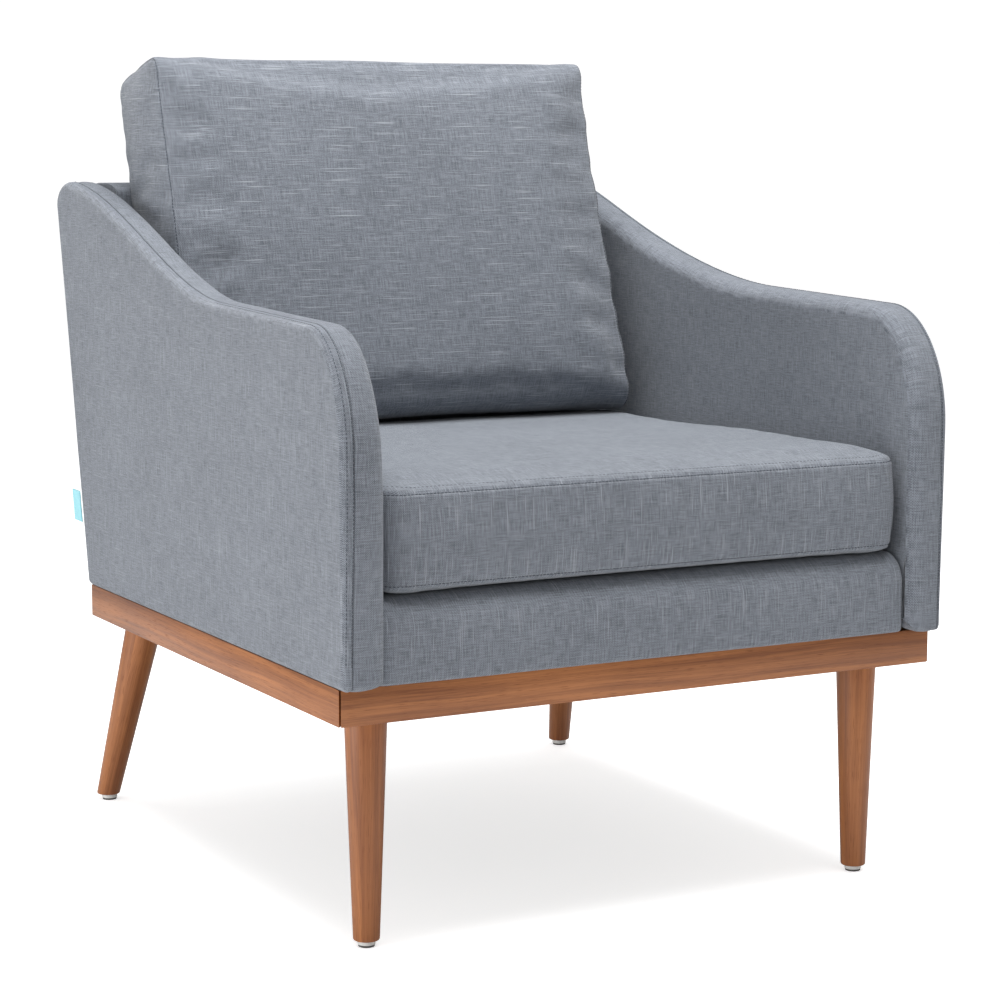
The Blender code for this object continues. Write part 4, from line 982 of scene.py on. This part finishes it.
def build_back_cushion():
    """Loose back cushion: one panel wraps front, top and rear, with boxed ends sewn in."""
    low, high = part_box("back_cushion_cover")
    seat_top = low.z - SINK + 1 * MM
    lean = INNER_LEAN
    thick, height = BACK_THICK, BACK_HEIGHT
    left, right = low.x - BACK_SPARE_LEFT, high.x - BACK_INSET_RIGHT
    half_x = (right - left) / 2
    middle_x = (right + left) / 2
    foot_y = high.y - (height - 0.010) * math.sin(lean) - 2 * MM
    points, faces, facing = grid_box(
        edge_lines(2 * half_x, 9 * MM), edge_lines(thick, 8 * MM, (2.0, 5.0, 10.0)),
        edge_lines(height, 9 * MM, (3.0, 8.0)))
    u, v, w = points.T
    across = u * half_x
    depth = (v - 1) / 2 * thick
    rise = (w + 1) / 2 * height
    # Round the long edges, more on top than underneath.
    for radius, at_top in ((14 * MM, True), (40 * MM, False)):
        d_rise = rise - (height - radius) if at_top else radius - rise
        for front in (True, False):
            d_depth = -(depth + thick - radius) if front else depth + radius
            new_rise, new_depth, both = onto_arc(d_rise, d_depth)
            rise = np.where(both, (height - radius + new_rise) if at_top else (radius - new_rise), rise)
            depth = np.where(both, (-thick + radius - new_depth) if front else (new_depth - radius), depth)
    to_end = half_x - np.abs(across)
    plump = np.sqrt(1 - (1 - np.clip(to_end / (70 * MM), 0, 1)) ** 2)
    face = 1 - np.abs(w) ** 4
    depth = depth - plump * face * 15 * MM * (v <= -1) + plump * face * 1.5 * MM * (v >= 1)
    rise = rise + plump * 3 * MM * (w >= 1)
    ends = (1 - v ** 2) * (1 - np.abs(w) ** 5)
    across = across + np.sign(u) * ends * np.where(u < 0, 7 * MM, 2 * MM) * (np.abs(u) >= 1)
    # Corners draw in a little where the boxing is sewn.
    corner = np.clip(1 - to_end / (40 * MM), 0, 1) ** 2 * np.clip((w - 0.80) / 0.20, 0, 1)
    rise = rise - corner * 0.5 * MM
    # The underside is level: it lies flat on the seat cushion.
    rise = rise + depth * math.tan(lean) * (1 - w) / 2
    x = middle_x + across + np.clip(u, 0, 1) * np.clip(1 - rise / height, 0, 1) ** 2 * 18 * MM
    x = x - np.clip(u, 0, 1) * np.sin(math.pi * np.clip(rise / height, 0, 1) ** 1.6) * 5 * MM
    y = foot_y + depth * math.cos(lean) + rise * math.sin(lean)
    z = seat_top + depth * -math.sin(lean) + rise * math.cos(lean)
    spots = np.column_stack([x, y, z])
    piece = cloth_box("back_cushion_sewn", spots, faces, facing)
    seam_shade_thread = (np.abs(u) >= 1) & (np.maximum(np.abs(v), np.abs(w)) >= 1)
    puff(piece, seam_shade_thread.astype(float), PRESSURE, PUFF_FRAMES, 6 * MM, 3 * MM, slack=0.012)
    spots = coords(piece)
    near_right = smooth_step(spots[:, 0], right - 0.10, right) * smooth_step(-spots[:, 1], -0.30, -0.20)
    creases = np.sin(spots[:, 2] * 105 + spots[:, 0] * 38) * np.sin(spots[:, 2] * 31 + 0.8)
    spots += vertex_normals(piece) * (ripple(spots, 51, 0.17, 1.3 * MM) + near_right * creases * 1.6 * MM)[:, None]
    normals = vertex_normals(piece)
    spots[seam_shade_thread] -= normals[seam_shade_thread] * SEAM_DEPTH
    front_right = np.clip(1 - np.hypot(right + 3 * MM - spots[:, 0],
                                       np.clip(spots[:, 1] - (foot_y - thick), 0, 1) * 0.8) / (60 * MM), 0, 1)
    spots[:, 0] -= front_right ** 1.6 * 9 * MM
    spots[:, 2] = np.maximum(spots[:, 2], seat_top + 0.2 * MM)
    wall = foot_y + (spots[:, 2] - seat_top) * math.tan(lean)
    spots[:, 1] = np.where(spots[:, 2] < BODY_TOP, np.minimum(spots[:, 1], wall), spots[:, 1])
    spots[:, 0] = np.clip(spots[:, 0], -INNER_X + 1 * MM, INNER_X - 1 * MM)
    set_coords(piece, spots)
    loops = []
    for end in (-1, 1):
        ring = [i for i in range(len(seam_shade_thread)) if seam_shade_thread[i] and u[i] * end > 0]
        ring.sort(key=lambda i: math.atan2(w[i], v[i]))
        loops.append(spots[ring + ring[:1]])
    subdivide_surface(piece)
    dress(piece, BACK_CLOTH, "back_cushion", ["back_cushion_cover"])
    fill_cushion(piece, "back_cushion_filling", "back_cushion_core", "back_cushion")
    # Dark thread over the end seams: painted shade for the seam grooves' dark lines.
    stitch_run("back_cushion_seam_shade_thread", loops, piece, "back_cushion", **SEAM_SHADE_STITCH)


# ---------------------------------------------------------------- timber, turned with modelling tools
BEVEL_ANGLE = 40


def board_map(piece, along, offset):
    """A map whose first axis runs along the board, so that the grain does too."""
    mesh = piece.data
    layer = mesh.uv_layers.get("UVMap") or mesh.uv_layers.new(name="UVMap")
    along = np.asarray(along, float)
    along /= np.linalg.norm(along)
    helper = np.array([0.0, 0.0, 1.0]) if abs(along[2]) < 0.9 else np.array([1.0, 0.0, 0.0])
    first = np.cross(helper, along)
    first /= np.linalg.norm(first)
    second = np.cross(along, first)
    points = coords(piece)
    made = np.zeros((len(mesh.loops), 2), np.float32)
    normals = flat_facing(piece)
    for face in mesh.polygons:
        normal = normals[face.index]
        side = second if abs(normal @ first) > abs(normal @ second) else first
        shift = offset + (0.31 if side is second else 0.0)
        for loop in face.loop_indices:
            spot = points[mesh.loops[loop].vertex_index]
            made[loop] = (spot @ along + offset, spot @ side + shift)
    layer.data.foreach_set("uv", made.ravel())


def settle(name, scale=(1.0, 1.0, 1.0)):
    """Names the new primitive and puts its place, turn and scale into its mesh."""
    piece = bpy.context.active_object
    piece.name = name
    piece.scale = scale
    bpy.ops.object.transform_apply(location=True, rotation=True, scale=True)
    return piece


def bevel_piece(piece, width, segments):
    make_active(piece)
    modifier = piece.modifiers.new("Bevel", "BEVEL")
    modifier.width = width
    modifier.segments = segments
    modifier.limit_method = "ANGLE"
    modifier.angle_limit = math.radians(BEVEL_ANGLE)
    bpy.ops.object.modifier_apply(modifier=modifier.name)
    bpy.ops.object.shade_smooth_by_angle(angle=math.radians(BEVEL_ANGLE))


def build_plinth_rail(side):
    """A mitred rail: a bar whose outer face is longer than its inner face by two rail widths."""
    name = f"plinth_{side}_rail"
    low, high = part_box(name)
    size, centre = high - low, (high + low) / 2
    bpy.ops.mesh.primitive_cube_add(size=1.0, location=centre)
    rail = settle(f"plinth_{side}_board", size)
    lengthwise = 0 if size.x > size.y else 1
    outward = 1 - lengthwise
    thickness = size[outward]
    for vertex in rail.data.vertices:
        inner_side = vertex.co[outward] * centre[outward] < centre[outward] ** 2
        if inner_side:
            vertex.co[lengthwise] -= math.copysign(thickness, vertex.co[lengthwise] - centre[lengthwise])
    bevel_piece(rail, 0.6 * MM, 2)
    direction = (1, 0, 0) if lengthwise == 0 else (0, 1, 0)
    board_map(rail, direction, {"front": 0.0, "rear": 1.7, "left": 3.1, "right": 4.6}[side])
    dress(rail, PLINTH_WOOD, CHAIR, [name])


def build_leg(end, side, number):
    """A tapered leg: a cone along the leg's axis, cut level at the top and the foot, foot edge eased."""
    name = f"leg_{end}_{side}"
    low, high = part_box(name)
    points = coords(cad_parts[name])
    top_ring = points[points[:, 2] > high.z - 0.4 * MM]
    foot_ring = points[points[:, 2] < low.z + 0.4 * MM]
    top_mid = Vector((top_ring.min(0) + top_ring.max(0)) / 2)
    foot_mid = Vector((foot_ring.min(0) + foot_ring.max(0)) / 2)
    top_radius = (top_ring[:, 0].max() - top_ring[:, 0].min()) / 2
    foot_radius = (foot_ring[:, 0].max() - foot_ring[:, 0].min()) / 2
    axis = (top_mid - foot_mid).normalized()
    spare = 0.02
    length = (top_mid - foot_mid).length
    taper = (top_radius - foot_radius) / length
    bpy.ops.mesh.primitive_cone_add(
        vertices=72, radius1=foot_radius - taper * spare, radius2=top_radius + taper * spare,
        depth=length + 2 * spare, location=(top_mid + foot_mid) / 2,
        rotation=axis.to_track_quat("Z", "Y").to_euler())
    leg = settle(f"turned_leg_{end}_{side}")
    bpy.ops.object.mode_set(mode="EDIT")
    bpy.ops.mesh.select_all(action="SELECT")
    bpy.ops.mesh.bisect(plane_co=(0, 0, high.z), plane_no=(0, 0, 1), use_fill=True, clear_outer=True)
    bpy.ops.mesh.select_all(action="SELECT")
    bpy.ops.mesh.bisect(plane_co=(0, 0, low.z), plane_no=(0, 0, -1), use_fill=True, clear_outer=True)
    bpy.ops.object.mode_set(mode="OBJECT")
    bevel_piece(leg, 1.6 * MM, 4)
    board_map(leg, axis, 0.7 * number)
    dress(leg, LEG_WOOD, CHAIR, [name])
    build_glide(end, side)


def build_glide(end, side):
    """Two-part glide: a pale cap above a dark sole."""
    name = f"glide_{end}_{side}"
    low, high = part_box(name)
    place = (low + high) / 2
    radius = (high.x - low.x) / 2
    parts = (("cap", 2.2 * MM, 6.5 * MM, radius, GLIDE_WHITE), ("sole", 0.0, 2.1 * MM, radius * 0.93, GLIDE_BASE))
    for part, z_low, z_high, wide, material in parts:
        bpy.ops.mesh.primitive_cylinder_add(vertices=48, radius=wide, depth=z_high - z_low,
                                            location=(place.x, place.y, (z_low + z_high) / 2))
        piece = settle(f"{name}_{part}")
        bevel_piece(piece, 0.6 * MM, 2)
        dress(piece, material, CHAIR, [name] if part == "cap" else ())


# ---------------------------------------------------------------- small and hidden pieces
def build_dust_cover():
    """Thin sheet stretched over the plinth's opening, hanging slightly in the middle."""
    low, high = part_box("dust_cover")
    size, centre = high - low, (high + low) / 2
    bpy.ops.mesh.primitive_grid_add(x_subdivisions=48, y_subdivisions=48, size=1.0,
                                    location=(centre.x, centre.y, high.z - 0.5 * MM))
    sheet = settle("stretched_dust_cloth", (size.x, size.y, 1.0))
    points = coords(sheet)
    u = (points[:, 0] - centre.x) / (size.x / 2)
    v = (points[:, 1] - centre.y) / (size.y / 2)
    points[:, 2] -= (1 - u ** 6) * (1 - v ** 6) * 1.5 * MM * smooth_step(1.7 - np.abs(u) - np.abs(v), 0, 0.3)
    set_coords(sheet, points)
    thicken(sheet, 0.4 * MM)
    dress(sheet, DUST_CLOTH, CHAIR, ["dust_cover"])


def build_tab():
    """Blank cloth tab: a ribbon folded in two, its ends held in the rear corner seam."""
    low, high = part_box("side_tab")
    height = high.z - low.z
    reach = 28 * MM
    half_gap = 0.42 * MM
    x = low.x + 0.6 * MM
    root_y = rear_y((low.z + high.z) / 2) + REAR_PANEL + 0.3 * MM
    fold = arc((root_y + reach - 1 * MM, 0.0), (1 * MM, 1.0), -90, 90, 8)
    line = [(root_y + reach * k / 8 - 1 * MM * k / 8, -half_gap) for k in range(8)]
    line += [(y, half_gap * z) for y, z in fold]
    line += [(root_y + (reach - 1 * MM) * k / 8, half_gap) for k in range(7, -1, -1)]
    rows = 12
    points, faces, cloth = [], [], []
    for row in range(rows + 1):
        z = low.z + height * row / rows
        lean = (z - (low.z + high.z) / 2) * math.tan(OUTER_LEAN)
        for y, offset in line:
            curl = 0.8 * MM * math.sin((y - root_y) * 60)
            points.append((x + offset + curl, y + lean, z))
    count = len(line)
    for row in range(rows):
        for k in range(count - 1):
            a = row * count + k
            faces.append([a, a + 1, a + count + 1, a + count])
            cloth.extend([(k * 3 * MM, row * 3 * MM), (k * 3 * MM + 3 * MM, row * 3 * MM),
                          (k * 3 * MM + 3 * MM, row * 3 * MM + 3 * MM), (k * 3 * MM, row * 3 * MM + 3 * MM)])
    tab = mesh_object("blank_side_tab", points, faces, cloth)
    thicken(tab, 0.35 * MM)
    dress(tab, TAB_CLOTH, CHAIR, ["side_tab"])


def build_zip(prefix, body, axis):
    """Zip tape sewn on the cover with two rows of teeth."""
    low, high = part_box(f"{prefix}_zip")
    size, centre = high - low, (high + low) / 2
    bpy.ops.mesh.primitive_cube_add(size=1.0, location=centre)
    tape = settle(f"{prefix}_zip_tape", size)
    bevel_piece(tape, 0.3 * MM, 2)
    dress(tape, ZIP_TAPE, body, [f"{prefix}_zip"])
    outward = Vector((0, 1, 0)) if axis == 1 else Vector((0, 0, -1))
    across = Vector((0, 0, 1)) if axis == 1 else Vector((0, 1, 0))
    face = centre + outward * (size[axis] / 2)
    points, faces = [], []
    pitch = 2.4 * MM
    for k in range(int((size.x - 6 * MM) / pitch)):
        x = low.x + 3 * MM + k * pitch
        side = 1 if k % 2 else -1
        spot = Vector((x, face.y, face.z)) + across * (side * 0.5 * MM)
        base = len(points)
        axes = np.array([Vector((0.8 * MM, 0, 0)), across * (1.4 * MM), outward * (0.35 * MM)])
        points.extend(STITCH_POINTS @ axes + np.array(spot))
        faces.extend([[base + i for i in f] for f in STITCH_FACES])
    teeth = mesh_object(f"{prefix}_zip_teeth", points, faces)
    dress(teeth, STEEL, body)


def paint_hidden():
    """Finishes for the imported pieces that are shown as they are."""
    rules = (("seat_spring", SPRING_STEEL), ("leg_plate", STEEL), ("hanger_bolt", STEEL), ("body_bolt", STEEL),
             ("seat_cushion_core", FOAM), ("back_cushion_core", FOAM), ("seat_cushion_zip_slider", STEEL),
             ("back_cushion_zip_slider", STEEL), ("corner_block", RAW_WOOD), ("seat_frame", RAW_WOOD),
             ("arm_left_frame", RAW_WOOD), ("arm_right_frame", RAW_WOOD), ("back_post", RAW_WOOD),
             ("back_top_rail", RAW_WOOD))
    for name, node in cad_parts.items():
        for start, material in rules:
            if name.startswith(start):
                node.data.materials.clear()
                node.data.materials.append(material)


# ---------------------------------------------------------------- stage, light and camera
def build_stage():
    """Pale floor and even surroundings, both a little brighter to the camera than to the chair."""
    bpy.ops.mesh.primitive_plane_add(size=30.0, location=(0, 0, 0))
    floor = bpy.context.active_object
    floor.name = "floor"
    paper = plain("pale_floor", (0.90, 0.90, 0.90), (0.89, 0.89, 0.89), 3.0, 0.75, **{
        "Emission Color": (1.0, 1.0, 1.0, 1.0)})
    view = add_node(paper.node_tree, "ShaderNodeLightPath")
    paper.node_tree.links.new(calc(paper.node_tree, "MULTIPLY", view.outputs["Is Camera Ray"], 0.62),
                              paper.node_tree.nodes["Principled BSDF"].inputs["Emission Strength"])
    floor.data.materials.append(paper)

    world = bpy.data.worlds.new("studio")
    bpy.context.scene.world = world
    world.use_nodes = True
    tree = world.node_tree
    sky = tree.nodes["Background"]
    sky.inputs["Color"].default_value = (1.0, 1.0, 1.0, 1.0)
    path = add_node(tree, "ShaderNodeLightPath")
    strength = calc(tree, "ADD", 0.46, calc(tree, "MULTIPLY", path.outputs["Is Camera Ray"], 0.59))
    tree.links.new(strength, sky.inputs["Strength"])


def soft_light(name, place, aim, size, power, colour=(1.0, 1.0, 1.0)):
    lamp = bpy.data.lights.new(name, "AREA")
    lamp.shape = "RECTANGLE"
    lamp.size, lamp.size_y = size
    lamp.energy = power
    lamp.color = colour
    holder = bpy.data.objects.new(name, lamp)
    bpy.context.scene.collection.objects.link(holder)
    holder.location = place
    holder.rotation_euler = (Vector(aim) - Vector(place)).to_track_quat("-Z", "Y").to_euler()


def build_camera():
    camera = bpy.data.cameras.new("camera")
    camera.lens = 95.3
    camera.sensor_width = 36.0
    camera.clip_start, camera.clip_end = 0.05, 100.0
    holder = bpy.data.objects.new("camera", camera)
    bpy.context.scene.collection.objects.link(holder)
    azimuth, elevation, roll = -0.4938, 0.1339, 0.0008
    back = Vector((math.sin(azimuth) * math.cos(elevation), -math.cos(azimuth) * math.cos(elevation),
                   math.sin(elevation)))
    right = Vector((math.cos(azimuth), math.sin(azimuth), 0.0))
    up = back.cross(right)
    turn = Matrix((right, up, back)).transposed() @ Matrix.Rotation(roll, 3, "Z")
    holder.matrix_world = Matrix.Translation((-1.3911, -2.6381, 0.7930)) @ turn.to_4x4()
    bpy.context.scene.camera = holder


build_stage()
soft_light("overhead", (-0.1, -0.3, 3.2), (0.0, 0.0, 0.4), (2.2, 2.2), 130.0)
soft_light("left_window", (-3.2, -0.2, 0.42), (0.0, 0.0, 0.42), (2.4, 0.7), 39.0)
build_camera()
bpy.context.scene.view_settings.view_transform = "Standard"

for side_name, side_sign in SIDES:
    build_arm(side_name, side_sign)
    build_arm_frame(side_name, side_sign)
build_inside_back()
build_outside_back()
build_front_rail()
build_deck()
build_seat_cushion()
build_back_cushion()
for rail_side in ("front", "rear", "left", "right"):
    build_plinth_rail(rail_side)
for leg_number, (leg_end, leg_side) in enumerate((e, s) for e in ("front", "rear") for s, _ in SIDES):
    build_leg(leg_end, leg_side, leg_number)
build_dust_cover()
build_tab()
build_zip("seat_cushion", "seat_cushion", 1)
build_zip("back_cushion", "back_cushion", 2)
paint_hidden()
